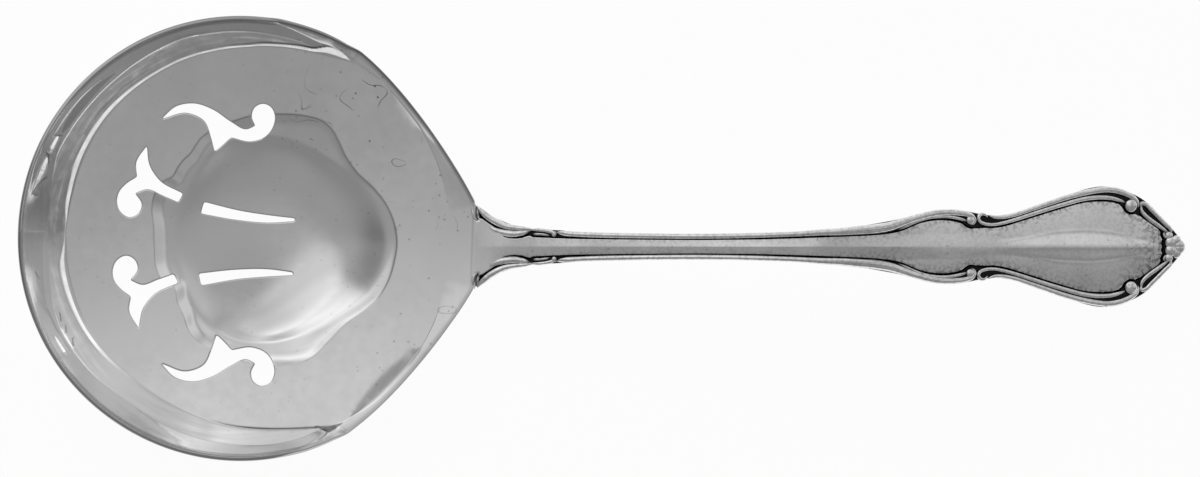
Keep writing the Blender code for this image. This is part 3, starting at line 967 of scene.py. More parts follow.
def bed_rise(x, y):
    """Rise of the well's bed towards the front and one side."""
    turn = math.radians(BED_TURN)
    far = BED_START - x * math.cos(turn) - y * math.sin(turn)
    return BED_SLOPE * 0.5 * (far + np.hypot(far, BED_ROUND))


def well_tables():
    """Round the well: turns, its reach, shares of it, and a function for its fall over both."""
    line = smooth_line(WELL_OUTLINE, 24, closed=True) - (WELL_CENTRE, 0.0)
    turns = np.linspace(-math.pi, math.pi, 360 * WELL_STEPS + 1)
    reach = np.interp(turns, np.arctan2(line[:, 1], line[:, 0]), np.hypot(*line.T), period=2 * math.pi)
    edge_x, edge_y = WELL_CENTRE + reach * np.cos(turns), reach * np.sin(turns)
    total = (floor_height(edge_x, edge_y) - SHEET - bed_rise(edge_x, edge_y))[:, None]
    away = np.degrees(np.abs(turns))
    angle, *columns = zip(*WELL_PROFILE)
    fall, step, hollow, brink, soft = (np.interp(away, angle, column)[:, None] for column in columns)

    def blurred(column, spread):
        return smoothed(column, spread, WELL_STEPS)[:, None]

    brink = np.minimum(brink, blurred(reach, EDGE_BLUR) - step - 0.1)
    brink = blurred(brink[:, 0], BRINK_BLUR)
    slant = SHELF_SLOPE * np.interp(away, (80, 110), (1, 0))[:, None]
    shelf_fall = slant * np.clip(reach[:, None] - brink, 0.2, None)
    dish_fall = blurred((total - fall - shelf_fall)[:, 0], DEPTH_BLUR)
    fall = total - shelf_fall - dish_fall
    shares = np.linspace(0, WELL_OVERRUN, round(WELL_OVERRUN * WELL_COLUMNS) + 1)
    far = reach[:, None] * shares
    depth = reach[:, None] - far

    # Contours of the dish: the brink's shape at its top, a circle at its bottom
    level = np.linspace(0, 1.5, 301)[None, :]
    places = level * (DISH_RADIUS + (brink - DISH_RADIUS) * np.clip(level, 0, 1) ** 2)
    parts = np.gradient(level[0] ** DISH_POWER) / np.gradient(places, axis=1)
    dish = np.array([np.interp(row, place, part) for row, place, part in zip(far, places, parts)])

    def summed(slope, drop):
        back = np.cumsum(slope[:, ::-1], axis=1)[:, ::-1]
        return back / back[:, :1] * drop

    def falls(softness):
        start = ease(depth, -WELL_EDGE_ROUND - softness, WELL_EDGE_ROUND + softness)
        sink = np.clip((depth - softness) / (step + softness), 0, 1)
        sides = start * (1 - sink**hollow)
        slope = dish * ease(brink - far, -soft - softness, soft + softness)
        shelf = start * ease(far, brink - 1.5, brink)
        return summed(sides, fall) + summed(shelf, shelf_fall) + summed(slope, dish_fall)

    return turns, reach, shares, falls


WELL_TURNS, WELL_REACH, WELL_SHARES, well_falls = well_tables()
WELL_FALLS = {"inside": well_falls(0.0), "underside": well_falls(UNDER_SOFT)}


def well_place(points):
    """Turn round the well's centre, distance from it, and the well's reach there."""
    x, y = points[:, 0] - WELL_CENTRE, points[:, 1]
    turn = np.arctan2(y, x)
    return turn, np.hypot(x, y), np.interp(turn, WELL_TURNS, WELL_REACH)


def inside_height(points, skin):
    """Inside of the bowl over its plan, or the softer shape that its underside follows."""
    x, y = points[:, 0], points[:, 1]
    turn = np.arctan2(y, x)
    reach = np.hypot(x, y)
    tables = (RIM, FOOT, DENT, DENT_INSET)
    rim, foot, dent, gap = (np.interp(turn, TURNS, table) for table in tables)
    row = (turn + math.pi) / (2 * math.pi) * (len(TURNS) - 1)
    rise = looked_up(WALL_RISES[skin], row, WALL_COLUMNS * (reach - foot) / (rim - foot))
    base = floor_height(x, y) + rise
    inset = np.clip(dent + gap - (rim - reach), 0, dent)
    base = base - math.tan(math.radians(DENT_TILT)) * inset

    turn, far, edge = well_place(points)
    row = (turn + math.pi) / (2 * math.pi) * (len(WELL_TURNS) - 1)
    fall = looked_up(WELL_FALLS[skin], row, far / edge / WELL_SHARES[1])
    share = np.clip(far / edge, 1e-6, 1)
    edge_x, edge_y = WELL_CENTRE + (x - WELL_CENTRE) / share, y / share
    level = np.where(far < edge, floor_height(edge_x, edge_y), floor_height(x, y))
    bed = np.where(far < edge, bed_rise(x, y) - bed_rise(edge_x, edge_y), 0.0)
    return base - floor_height(x, y) + level - fall + bed


def under_points(points):
    """Underside of the sheet below the given plan points, a sheet's thickness along the normal."""
    step = 0.02
    height = inside_height(points, "underside")
    slopes = []
    for move in ((step, 0), (0, step)):
        ahead = inside_height(points + move, "underside")
        slopes.append((ahead - inside_height(points - np.array(move), "underside")) / (2 * step))
    along_x, along_y = slopes
    normals = np.column_stack((-along_x, -along_y, np.ones(len(points))))
    normals /= np.linalg.norm(normals, axis=1)[:, None]
    turn, reach = np.arctan2(points[:, 1], points[:, 0]), np.hypot(*points.T)
    rim, foot = np.interp(turn, TURNS, RIM), np.interp(turn, TURNS, FOOT)
    thick = SHEET + (RIM_SHEET - SHEET) * ease(reach, rim - RIM_TAPER, rim)
    lean = ease(reach - foot, *UNDER_TURN)
    drop = normals * lean[:, None]
    drop[:, 2] += (1 - lean) / normals[:, 2]
    return np.column_stack((points, height)) - thick[:, None] * drop


def ring(turns, reach, centre, count, shift=0):
    """Plan points on one ring, so many on it, shifted by half a gap or not."""
    turn = np.linspace(-math.pi, math.pi, count, endpoint=False) + math.pi * shift / count
    far = np.interp(turn, turns, reach)
    return np.column_stack((centre + far * np.cos(turn), far * np.sin(turn)))


def wall_rows():
    """Rings of plan points that crowd at the wall's bends."""
    rows = [WALL_SCALE * far for far in FOOT_ROWS]
    rows += [STRIP_END * share for share in (0.4, 0.75)]
    rows += [STRIP_END - STRIP_ROUND, STRIP_END + STRIP_ROUND]
    rows += [STRIP_END + (GENTLE_END - STRIP_END) * share for share in (0.25, 0.5, 0.75)]
    rows += [GENTLE_END + far for far in (-0.09, -BEND_ROUND, BEND_ROUND)]
    rows += [LEDGE_END + far for far in LEDGE_ROWS]
    rows += [LEDGE_END + (LIP_START - LEDGE_END) * share for share in np.arange(1, 10) / 10]
    rows += [LIP_START + far for far in LIP_ROWS]
    rows += [RIM - FOOT - WALL_SCALE * far for far in RIM_ROWS]
    return [ring(TURNS, FOOT + far, 0.0, WALL_POINTS) for far in rows]


def mark_rows():
    """Rows of plan points along the wall's patches and its patches and strokes of painted shade."""
    groups = []
    for line in WALL_PATCHES + tuple(region for _, region in WALL_SHADES):
        places, inner, outer = (np.array(column) for column in zip(*line))
        degrees = np.linspace(places[0], places[-1], int(4 * (places[-1] - places[0])))
        inner, outer = np.interp(degrees, places, inner), np.interp(degrees, places, outer)
        ways = np.column_stack((np.cos(np.radians(degrees)), np.sin(np.radians(degrees))))
        for share, more in REGION_ROWS:
            reach = inner + (outer - inner) * share + more
            groups.append(reach[:, None] * ways)
    for _, wide, stroke in WALL_SHADE_STROKES:
        line = stroke_line(stroke, 0.1)
        ahead = np.gradient(line, axis=0)
        beside = np.column_stack((-ahead[:, 1], ahead[:, 0])) / np.linalg.norm(ahead, axis=1)[:, None]
        groups += [line + beside * wide * far for far in STROKE_ROWS]
    return groups


def well_rows():
    """Rings of plan points round the well and inside it."""
    rings = [(WELL_REACH - depth, WELL_EDGE_POINTS, 0) for depth in WELL_EDGE_ROWS]
    rings += [(WELL_REACH - depth, WELL_POINTS, k % 2) for k, depth in enumerate(WELL_ROWS)]
    for k, share in enumerate(np.linspace(0.05, 0.97, 20)):
        reach = (WELL_REACH - WELL_ROWS[-1]) * (1 - share)
        rings.append((reach, max(12, int(14 * np.median(reach))), k % 2))
    return [ring(WELL_TURNS, reach, WELL_CENTRE, count, shift) for reach, count, shift in rings]


def floor_mesh():
    """An even mesh of plan points on the floor between the well and the wall."""
    x, y = np.meshgrid(np.arange(-25, 26, FLOOR_STEP), np.arange(-25, 25, FLOOR_STEP * math.sqrt(3) / 2))
    x = x + FLOOR_STEP / 2 * (np.arange(len(x)) % 2)[:, None]
    mesh = np.column_stack((x.ravel(), y.ravel()))
    foot = np.interp(np.arctan2(mesh[:, 1], mesh[:, 0]), TURNS, FOOT)
    _, far, edge = well_place(mesh)
    return mesh[(np.hypot(*mesh.T) < foot + FOOT_ROWS[0]) & (far > edge + 0.65)]


def stroke_line(line, spacing):
    """A stroke of the wall in the bowl's plan, with points at about even steps."""
    turns, reach = np.radians([place[0] for place in line]), np.array([place[1] for place in line])
    line = np.column_stack((reach * np.cos(turns), reach * np.sin(turns)))
    far = np.append(0.0, np.cumsum(np.hypot(*np.diff(line, axis=0).T)))
    places = np.linspace(0, far[-1], max(4, int(far[-1] / spacing)))
    return np.column_stack([np.interp(places, far, line[:, k]) for k in (0, 1)])


def resampled(line, spacing):
    """A closed line again, with points at about even steps."""
    closed = np.vstack((line, line[:1]))
    spans = np.hypot(*np.diff(closed, axis=0).T)
    far = np.append(0.0, np.cumsum(spans))
    places = np.linspace(0, far[-1], int(far[-1] / spacing), endpoint=False)
    return np.column_stack([np.interp(places, far, closed[:, k]) for k in (0, 1)])


def grown(line, amount):
    """A closed line moved outwards from the side it encloses."""
    ahead = np.roll(line, -1, axis=0) - np.roll(line, 1, axis=0)
    ahead /= np.linalg.norm(ahead, axis=1)[:, None]
    outwards = np.column_stack((ahead[:, 1], -ahead[:, 0]))
    x, y = line.T
    area = np.sum(x * np.roll(y, -1) - np.roll(x, -1) * y)
    return line + outwards * amount * math.copysign(1, area)


def piercing_lines():
    """The six pierced outlines in the bowl's plan, their corners a little worn."""
    lines = []
    for outline, drift in PIERCINGS:
        line = smooth_line(outline, 12, closed=True)
        for flip in (1, -1):
            placed = np.column_stack((line[:, 0] - flip * drift[0], flip * line[:, 1] - drift[1]))
            placed = resampled(placed, 0.08)
            for _ in range(5):
                beside = 0.25 * np.roll(placed, 1, axis=0), 0.25 * np.roll(placed, -1, axis=0)
                placed = beside[0] + 0.5 * placed + beside[1]
            lines.append(resampled(placed, 0.15))
    return lines


def bowl_plan(rim_line, holes):
    """The bowl's plan as a mesh: points, faces, loops of the rim and the holes, the wall's bends."""
    borders = [rim_line] + [grown(line, HOLE_EDGE) for line in holes]
    plan = np.vstack(wall_rows() + mark_rows() + well_rows() + [floor_mesh()])
    keep = inside(plan, grown(rim_line, -RIM_CLEAR))
    for border in borders[1:]:
        keep &= ~inside(plan, grown(border, HOLE_CLEAR))
    plan = plan[keep]
    for border in borders[1:]:
        beside = grown(border, HOLE_ROW)
        plan = np.vstack((plan, beside[~inside(beside, border)]))
    edges, loops = [], []
    first = 0
    for border in borders:
        loop = list(range(first, first + len(border)))
        edges += list(zip(loop, loop[1:] + loop[:1]))
        loops.append(loop)
        first += len(border)
    bends = [(first + a, first + b) for a, b in bend_edges(plan)]
    points = [Vector(point) for point in np.vstack(borders + [plan])]
    verts, _, faces, origins, _, _ = delaunay_2d_cdt(points, edges + bends, [], 0, 1e-6)

    place = {old: new for new, olds in enumerate(origins) for old in olds}
    loops = [[place[i] for i in loop] for loop in loops]
    plan = np.array([tuple(vert) for vert in verts])
    middles = np.array([plan[list(face)].mean(axis=0) for face in faces])
    keep = inside(middles, rim_line)
    for border in borders[1:]:
        keep &= ~inside(middles, border)
    faces = [tuple(face) for face, kept in zip(faces, keep) if kept]
    return plan, faces, loops, [(place[a], place[b]) for a, b in bends]


def build_bowl():
    """The pressed and pierced bowl: two skins of one plan, a rolled rim and softened saw cuts."""
    turns = np.linspace(CORNER, 2 * math.pi - CORNER, 420)
    turns = np.concatenate((np.linspace(-CORNER, CORNER, 40)[1:-1], turns))
    reach = np.interp(turns, TURNS, RIM, period=2 * math.pi)
    rim_line = np.column_stack((reach * np.cos(turns), reach * np.sin(turns)))
    holes = piercing_lines()
    plan, faces, loops, sharp = bowl_plan(rim_line, holes)
    top = np.column_stack((plan, inside_height(plan, "inside")))
    under = under_points(plan)
    count = len(plan)
    rows = [top, under]
    faces = faces + [tuple(i + count for i in reversed(face)) for face in faces]

    def join(upper, lower):
        faces.extend(zip(upper, lower, lower[1:] + lower[:1], upper[1:] + upper[:1]))

    def add_row(row, above):
        first = sum(len(made) for made in rows)
        rows.append(row)
        indices = list(range(first, first + len(row)))
        join(above, indices)
        return indices

    # Rolled rim: rows round the sheet's edge, flat where the handle is soldered on
    loop = loops[0]
    high, low = top[loop], under[loop]
    middle, across = (high + low) / 2, (high - low) / 2
    outward = np.cross(np.roll(high, -1, axis=0) - np.roll(high, 1, axis=0), across)
    outward /= np.linalg.norm(outward, axis=1)[:, None]
    outward[:, 2] = np.maximum(outward[:, 2], RIM_LIFT)
    outward /= np.linalg.norm(outward, axis=1)[:, None]
    flat_end = np.abs(turns) < CORNER * 1.02
    round_by = np.where(flat_end, 0.0, RIM_ROUND)[:, None]
    last = loop
    for along, out in RIM_SECTION:
        last = add_row(middle + across * along + outward * round_by * out, last)
    join(last, [i + count for i in loop])
    sharp += [(loop[k], loop[k - 1]) for k in range(len(loop)) if flat_end[k] and flat_end[k - 1]]

    # Saw cuts: a rounded edge above a straight wall, a small softened one below
    cuts = []
    for loop, hole in zip(loops[1:], holes):
        inward = np.column_stack((hole - plan[loop], np.zeros(len(hole))))
        made = [loop]
        for lean in (30, 60, 90):
            turn = math.radians(lean)
            sunk = HOLE_EDGE * (1 - math.cos(turn))
            made.append(add_row(top[loop] + inward * math.sin(turn) - (0, 0, sunk), made[-1]))
        foot = add_row(under[loop] + inward + (0, 0, HOLE_EDGE), made[-1])
        below = [i + count for i in loop]
        join(foot, below)
        for line in (made[-1], foot, below):
            sharp += list(zip(line, line[1:] + line[:1]))
        cuts += made[1] + made[2]

    coords = np.vstack(rows)
    # painted shade on the inside, on the saw cuts' rounded edges and on the rim
    tarnish_and_shade = np.zeros(len(coords))
    tarnish_and_shade[:count] = bowl_painted_shade(plan)
    tarnish_and_shade[cuts] = CUT_SHADE
    # painted shade on the rolled rim: darker towards +Y and towards the side between +X and +Y, none on
    # the flat end
    darkening = 0.45 + 0.15 * ease(np.sin(turns), 0.2, 0.8)
    darkening = darkening + 0.15 * ease(np.cos(turns) + np.sin(turns), 1.0, 1.3)
    darkening = np.where(flat_end, 0.0, darkening)
    rim_start = 2 * count
    tarnish_and_shade[rim_start : rim_start + len(RIM_SECTION) * len(turns)] = np.tile(darkening, len(RIM_SECTION))
    tarnish_and_shade[loops[0]] = darkening
    return finished_bowl(coords, faces, sharp, tarnish_and_shade)


def finished_bowl(coords, faces, sharp, tarnish_and_shade):
    """The bowl's mesh turned into its place, with the values that its finish reads."""
    turn = math.radians(BOWL_TURN)
    x, y = coords[:, 0] - JOINT_X, coords[:, 1].copy()
    coords[:, 0] = JOINT_X + x * math.cos(turn) - y * math.sin(turn)
    coords[:, 1] = x * math.sin(turn) + y * math.cos(turn)
    around, reach = np.arctan2(y, x + JOINT_X), np.hypot(x + JOINT_X, y)
    foot, rim = np.interp(around, TURNS, FOOT), np.interp(around, TURNS, RIM)
    spot = ((coords[:, k] - WORN_SPOT[k]) / WORN_REACH[k] for k in (0, 1))
    darkening = 0.12 + 0.88 * np.exp(-sum(far**2 for far in spot)) + 0.3 * ease(coords[:, 0], 8, 22)
    wall = ease((reach - foot) / (rim - foot), 0.0, 0.2) * ease(np.degrees(np.abs(around)), 58, 75)
    piece = make_piece("bowl_sheet", coords, faces, sharp)
    add_values(piece, "tarnish_and_shade", "FLOAT", tarnish_and_shade)
    add_values(piece, "round", "FLOAT_VECTOR", np.column_stack((np.cos(around), np.sin(around), reach)))
    add_values(piece, "wear", "FLOAT", np.clip(darkening, 0, 1))
    add_values(piece, "wall", "FLOAT", wall)
    return piece


def bend_edges(plan):
    """Pairs of plan points along the bend in the bowl's side wall where it is a plain corner."""
    turn = np.arctan2(plan[:, 1], plan[:, 0])
    past = np.hypot(*plan.T) - np.interp(turn, TURNS, FOOT) - np.interp(turn, TURNS, GENTLE_END)
    bend = np.interp(turn, TURNS, BEND_ROUND)
    pairs = []
    for side in (-1, 1):
        row = np.flatnonzero((bend < CRISP_LIMIT) & (np.abs(past - side * bend) < 0.002))
        row = row[np.argsort(turn[row])]
        close = np.diff(turn[row]) < math.radians(1.5)
        pairs += list(zip(row[:-1][close].tolist(), row[1:][close].tolist()))
    return pairs


def bowl_painted_shade(points):
    """Painted shade on the inside: dark lines along the well's edge, the wall's foot and the rim, and the
    wall's shade patches and strokes.
    """
    turn, far, edge = well_place(points)
    dark = hump(edge - far, 0.09) * listed(np.degrees(turn), WELL_EDGE_LINE)
    turn, reach = np.arctan2(points[:, 1], points[:, 0]), np.hypot(*points.T)
    degrees = np.degrees(turn)
    foot, strip, rim = (np.interp(turn, TURNS, table) for table in (FOOT, STRIP_END, RIM))
    lines = [
        hump(reach - foot - strip - 0.11, 0.11) * listed(degrees, STRIP_LINE),
        hump(reach - foot - 0.02, 0.1) * listed(degrees, FOOT_LINE),
        hump(rim - reach - 0.1, 0.2) * listed(degrees, FLANK_LINE),
        ease(reach, rim - 0.38, rim - 0.3) * listed(degrees, RIM_LINE),
    ]
    lines += [strength * in_region(turn, reach, region, WALL_SHADE_SOFT) for strength, region in WALL_SHADES]
    for strength, wide, stroke in WALL_SHADE_STROKES:
        spots = stroke_line(stroke, 0.03)
        near = np.min(np.hypot(points[:, :1] - spots[:, 0], points[:, 1:] - spots[:, 1]), axis=1)
        lines.append(strength * hump(near, wide))
    for line in lines:
        dark = np.maximum(dark, line)
    return dark


def add_values(piece, name, kind, values):
    """A named value on every point of a piece."""
    field = "vector" if kind == "FLOAT_VECTOR" else "value"
    piece.data.attributes.new(name, kind, "POINT").data.foreach_set(field, np.ravel(values))


def make_piece(name, coords, faces, sharp=()):
    """A smooth-shaded mesh object from millimetre points, its normals outwards."""
    mesh = bpy.data.meshes.new(name)
    mesh.from_pydata((coords * MM).tolist(), [], faces)
    bm = bmesh.new()
    bm.from_mesh(mesh)
    bmesh.ops.recalc_face_normals(bm, faces=bm.faces)
    bm.verts.ensure_lookup_table()
    for face in bm.faces:
        face.smooth = True
    for a, b in sharp:
        edge = bm.edges.get((bm.verts[a], bm.verts[b]))
        if edge:
            edge.smooth = False
    bm.to_mesh(mesh)
    bm.free()
    piece = bpy.data.objects.new(name, mesh)
    bpy.context.scene.collection.objects.link(piece)
    return piece


# ---------------------------------------------------------------- handle

OUTLINE = smooth_line(HANDLE_OUTLINE, 40)


def half_width(x):
    """Half the handle's width along it."""
    return np.interp(x, OUTLINE[:, 0], OUTLINE[:, 1])


def arch_height(x):
    """Top of the handle's panel: it rises from the joint to the arch and falls to the tip."""
    start = floor_height(JOINT_X, 0.0)
    t = np.clip((x - JOINT_X) / ARCH_AT, 0, 1)
    rise = (t**3 - 2 * t**2 + t) * ARCH_RISE * ARCH_AT
    near = (2 * t**3 - 3 * t**2 + 1) * start + rise + (3 * t**2 - 2 * t**3) * ARCH_HEIGHT
    span = TIP_X - JOINT_X - ARCH_AT
    t = np.clip((x - JOINT_X - ARCH_AT) / span, 0, 1)
    fall = (t**3 - t**2) * -TIP_FALL * span
    far = (2 * t**3 - 3 * t**2 + 1) * ARCH_HEIGHT + fall + (3 * t**2 - 2 * t**3) * TIP_HEIGHT
    return np.where(x < JOINT_X + ARCH_AT, near, far)


def face_level(x, y):
    """Level from which the handle's face is worked: the bowl's floor that becomes the arch."""
    leave = ease(x, JOINT_X, JOINT_X + 7.0)
    return floor_height(x, y) * (1 - leave) + arch_height(np.maximum(x, JOINT_X)) * leave


def panel_relief(x, y):
    """Crown of the handle's panel: a roof-like ridge on the stem, a brimmed leaf on the blade."""
    part = np.abs(y) / listed(x, RIDGE_WIDTH)
    roof = 1 - np.hypot(part, 0.05) + 0.05
    leaf = np.cos(np.clip(part, 0, 1) * math.pi / 2) ** 2
    blade = ease(x, *BLADE_START)
    ridge = np.clip(roof, 0, None) * (1 - blade) + leaf * blade
    brim = BRIM_HEIGHT * hump(np.abs(y) - listed(x, BRIM_LINE), BRIM_WIDTH)
    brim = brim * ease(x, 82, 85) * (1 - ease(x, 97, 100)) * np.where(y > 0, 1.0, 0.5)
    crown = listed(x, CROWN_HEIGHT) * (1 - (y / listed(x, CROWN_WIDTH)) ** 2)
    return brim + listed(x, RIDGE_HEIGHT) * ridge + crown


def handle_face(x, y, half):
    """Face of the handle over its plan, how dark its grooves are with oxide and painted shade, and how
    soiled its panel is.
    """
    flat = np.column_stack((x.ravel(), np.abs(y).ravel()))
    edge_line = np.array(PANEL_EDGE)
    away = distance_to_line(flat, edge_line)
    area = np.vstack((edge_line, [(15.0, 0.0), (15.0, 3.3)]))
    signed = np.where(inside(flat, area), away, -away).reshape(x.shape)
    raised = ease(signed, *PANEL_BEVEL)
    start = ease(x, *GROOVE_START)
    sunk = GROOVE_DEPTH * start
    face = face_level(x, y) + panel_relief(x, y) * raised - sunk * (1 - raised)
    edge = np.clip((np.abs(y) - half + EDGE_ROUND) / EDGE_ROUND, 0, 1)
    face = face - EDGE_FALL * (1 - np.sqrt(1 - edge**2))

    inwards = np.clip(signed, 0, None)
    stem = ease(x, *STEM_START) * (1 - ease(x, *STEM_END))
    # oxide and painted shade in the sunk border and just inside the panel's edge
    tarnish_and_shade = 1 - ease(signed, -0.08, 0.08 - 0.05 * stem) + (0.35 - 0.15 * stem) * np.exp(-inwards / 0.12)
    tarnish_and_shade = np.clip(tarnish_and_shade, 0, 1 - 0.15 * stem) * start
    for points, width, depth in VOLUTE_CUTS:
        cut = hump(distance_to_line(flat, np.array(points)), width).reshape(x.shape)
        face = face - depth * cut
        tarnish_and_shade = np.maximum(tarnish_and_shade, cut)
    soil = np.exp(-inwards / 0.4) + 0.5 * ease(x, 95.0, 100.5) + 0.12
    soil = np.clip(soil, 0, 1) * ease(x, 28, 33) * (0.4 + 0.6 * ease(x, 62, 74))
    return face, tarnish_and_shade, soil


def tongue_rings(share, around):
    """Rings of the tongue that laps under the bowl, from its tip to the joint."""
    rings = []
    for t in np.linspace(1, 0, 24) ** 1.6:
        x = JOINT_X - t * (JOINT_X - TONGUE_TIP_X)
        bulge = math.sqrt(1 - t)
        wide, depth = 1.2 + 1.8 * bulge, 0.3 + 0.6 * bulge
        upper, lower = wide * share, wide * np.cos(around)
        top = floor_height(x, upper) - SHEET + TONGUE_LAP
        low = floor_height(x, lower) - SHEET + TONGUE_LAP - BACK_START
        low = low - (depth + 0.3) * np.sin(around) ** 0.6
        sides = ((upper, top), (lower, low))
        rings.append(np.vstack([np.column_stack((x + JOINT_SKEW * y, y, z)) for y, z in sides]))
    return rings


def build_handle():
    """The struck handle's body: raised panel, sunk border, rounded back, tongue under the bowl."""
    rows_x = np.concatenate(
        (
            np.arange(25.5, 35.5, 0.1),
            np.arange(35.5, 69.5, 0.4),
            np.arange(69.5, 100.0, 0.1),
            np.arange(100.0, 102.85, 0.06),
            [102.87, TIP_X],
        )
    )
    share = np.sin(1.1 * np.linspace(-1, 1, 131)) / math.sin(1.1)
    half = half_width(rows_x)[:, None]
    skew = (JOINT_SKEW * np.clip(1 - (rows_x - JOINT_X) / 10.0, 0, 1))[:, None]
    y = half * share[None, :]
    x = rows_x[:, None] + skew * y
    face, tarnish_and_shade, soil = handle_face(x, y, half)

    thick = listed(rows_x, HANDLE_THICKNESS)[:, None]
    around = np.radians(np.linspace(180, 0, 42)[1:-1])[::-1]
    back_y = half * np.cos(around)
    back_x = rows_x[:, None] + skew * back_y
    edge_z = face[:, :1]
    centre = face_level(rows_x[:, None], 0 * rows_x[:, None])
    bulge = np.sin(around) ** 0.55
    back_z = edge_z - BACK_START + (centre - thick - edge_z + BACK_START) * bulge
    front = np.stack((x, y, face), axis=2)
    back = np.stack((back_x, back_y, back_z), axis=2)
    tongue = tongue_rings(share, around)
    rings = tongue + list(np.concatenate((front, back), axis=1))

    size = len(share) + len(around)
    faces = []
    for k in range(len(rings) - 1):
        for i in range(size):
            j = (i + 1) % size
            faces.append((k * size + i, k * size + j, (k + 1) * size + j, (k + 1) * size + i))
    faces.append(tuple(range(size)))
    last = (len(rings) - 1) * size
    faces.append(tuple(range(last + size - 1, last - 1, -1)))
    heel = len(tongue) * size
    sharp = [(heel + i, heel + (i + 1) % size) for i in range(size)]
    coords = np.vstack(rings)
    piece = make_piece("handle_body", coords, faces, sharp)
    for name, values, plain in (("tarnish_and_shade", tarnish_and_shade, 0.0), ("soil", soil, 0.1)):
        rows = np.hstack((values, np.full(back_y.shape, plain)))
        add_values(piece, name, "FLOAT", np.append(np.full(heel, plain), rows))
    add_values(piece, "satin", "FLOAT", ease(coords[:, 0], *SATIN_START))
    return piece


# ---------------------------------------------------------------- scroll border, in Geometry Nodes


def add_group(name, inputs):
    """A geometry tree with the given named inputs, and the girth of the points that it gets."""
    tree = bpy.data.node_groups.new(name, "GeometryNodeTree")
    tree.interface.new_socket("Geometry", in_out="INPUT", socket_type="NodeSocketGeometry")
    for label, kind in inputs:
        tree.interface.new_socket(label, in_out="INPUT", socket_type=kind)
    tree.interface.new_socket("Geometry", in_out="OUTPUT", socket_type="NodeSocketGeometry")
    girth = tree.nodes.new("GeometryNodeInputNamedAttribute")
    girth.data_type = "FLOAT"
    girth.inputs["Name"].default_value = "girth"
    return tree, tree.nodes.new("NodeGroupInput"), girth.outputs["Attribute"]


def close_group(tree, made, finish):
    """Ends a tree: shaded smooth, made a plain mesh, in its finish."""
    smooth = tree.nodes.new("GeometryNodeSetShadeSmooth")
    realize = tree.nodes.new("GeometryNodeRealizeInstances")
    paint = tree.nodes.new("GeometryNodeSetMaterial")
    paint.inputs["Material"].default_value = finish
    for node in (smooth, realize, paint):
        tree.links.new(made, node.inputs["Geometry"])
        made = node.outputs["Geometry"]
    tree.links.new(made, tree.nodes.new("NodeGroupOutput").inputs["Geometry"])
    return tree


def strand_tree(finish):
    """Rounded strands swept along paths, as wide as the path's girth says."""
    inputs = (("Section points", "NodeSocketInt"), ("Section height", "NodeSocketFloat"))
    tree, given, girth = add_group("scroll_strands", inputs)
    nodes, link = tree.nodes, tree.links.new
    to_curve = nodes.new("GeometryNodeMeshToCurve")
    upright = nodes.new("GeometryNodeSetCurveNormal")
    upright.mode = "Z_UP"
    section = nodes.new("GeometryNodeCurvePrimitiveCircle")
    section.mode = "RADIUS"
    section.inputs["Radius"].default_value = 1.0
    flatten = nodes.new("GeometryNodeTransform")
    squash = nodes.new("ShaderNodeCombineXYZ")
    squash.inputs["X"].default_value = 1.0
    squash.inputs["Z"].default_value = 1.0
    sweep = nodes.new("GeometryNodeCurveToMesh")
    sweep.inputs["Fill Caps"].default_value = True
    link(given.outputs["Geometry"], to_curve.inputs["Mesh"])
    link(to_curve.outputs["Curve"], upright.inputs["Curve"])
    link(upright.outputs["Curve"], sweep.inputs["Curve"])
    link(girth, sweep.inputs["Scale"])
    link(given.outputs["Section points"], section.inputs["Resolution"])
    link(given.outputs["Section height"], squash.inputs["Y"])
    link(section.outputs["Curve"], flatten.inputs["Geometry"])
    link(squash.outputs["Vector"], flatten.inputs["Scale"])
    link(flatten.outputs["Geometry"], sweep.inputs["Profile Curve"])
    return close_group(tree, sweep.outputs["Mesh"], finish)


def ball_tree(finish):
    """A flattened ball on every point, as wide as the point's girth says."""
    inputs = (("Facets", "NodeSocketInt"), ("Ball height", "NodeSocketFloat"))
    tree, given, girth = add_group("border_balls", inputs)
    nodes, link = tree.nodes, tree.links.new
    ball = nodes.new("GeometryNodeMeshUVSphere")
    ball.inputs["Radius"].default_value = 1.0
    tall = nodes.new("ShaderNodeMath")
    tall.operation = "MULTIPLY"
    size = nodes.new("ShaderNodeCombineXYZ")
    place = nodes.new("GeometryNodeInstanceOnPoints")
    for label in ("Segments", "Rings"):
        link(given.outputs["Facets"], ball.inputs[label])
    for socket in (size.inputs["X"], size.inputs["Y"], tall.inputs[0]):
        link(girth, socket)
    link(given.outputs["Ball height"], tall.inputs[1])
    link(tall.outputs["Value"], size.inputs["Z"])
    link(given.outputs["Geometry"], place.inputs["Points"])
    link(ball.outputs["Mesh"], place.inputs["Instance"])
    link(size.outputs["Vector"], place.inputs["Scale"])
    return close_group(tree, place.outputs["Instances"], finish)


def grow(name, coords, edges, girth, tree, settings):
    """Run a tree on points that carry a girth and keep the result as a plain mesh object."""
    mesh = bpy.data.meshes.new(name + "_plan")
    mesh.from_pydata((coords * MM).tolist(), edges, [])
    mesh.attributes.new("girth", "FLOAT", "POINT").data.foreach_set("value", np.asarray(girth) * MM)
    plan = bpy.data.objects.new(name + "_plan", mesh)
    bpy.context.scene.collection.objects.link(plan)
    maker = plan.modifiers.new(name, "NODES")
    maker.node_group = tree
    for item in tree.interface.items_tree:
        if item.in_out == "INPUT" and item.name in settings:
            maker[item.identifier] = settings[item.name]
    evaluated = plan.evaluated_get(bpy.context.evaluated_depsgraph_get())
    made = bpy.data.meshes.new_from_object(evaluated)
    piece = bpy.data.objects.new(name, made)
    made.name = name
    bpy.context.scene.collection.objects.link(piece)
    bpy.data.objects.remove(plan)
    return piece


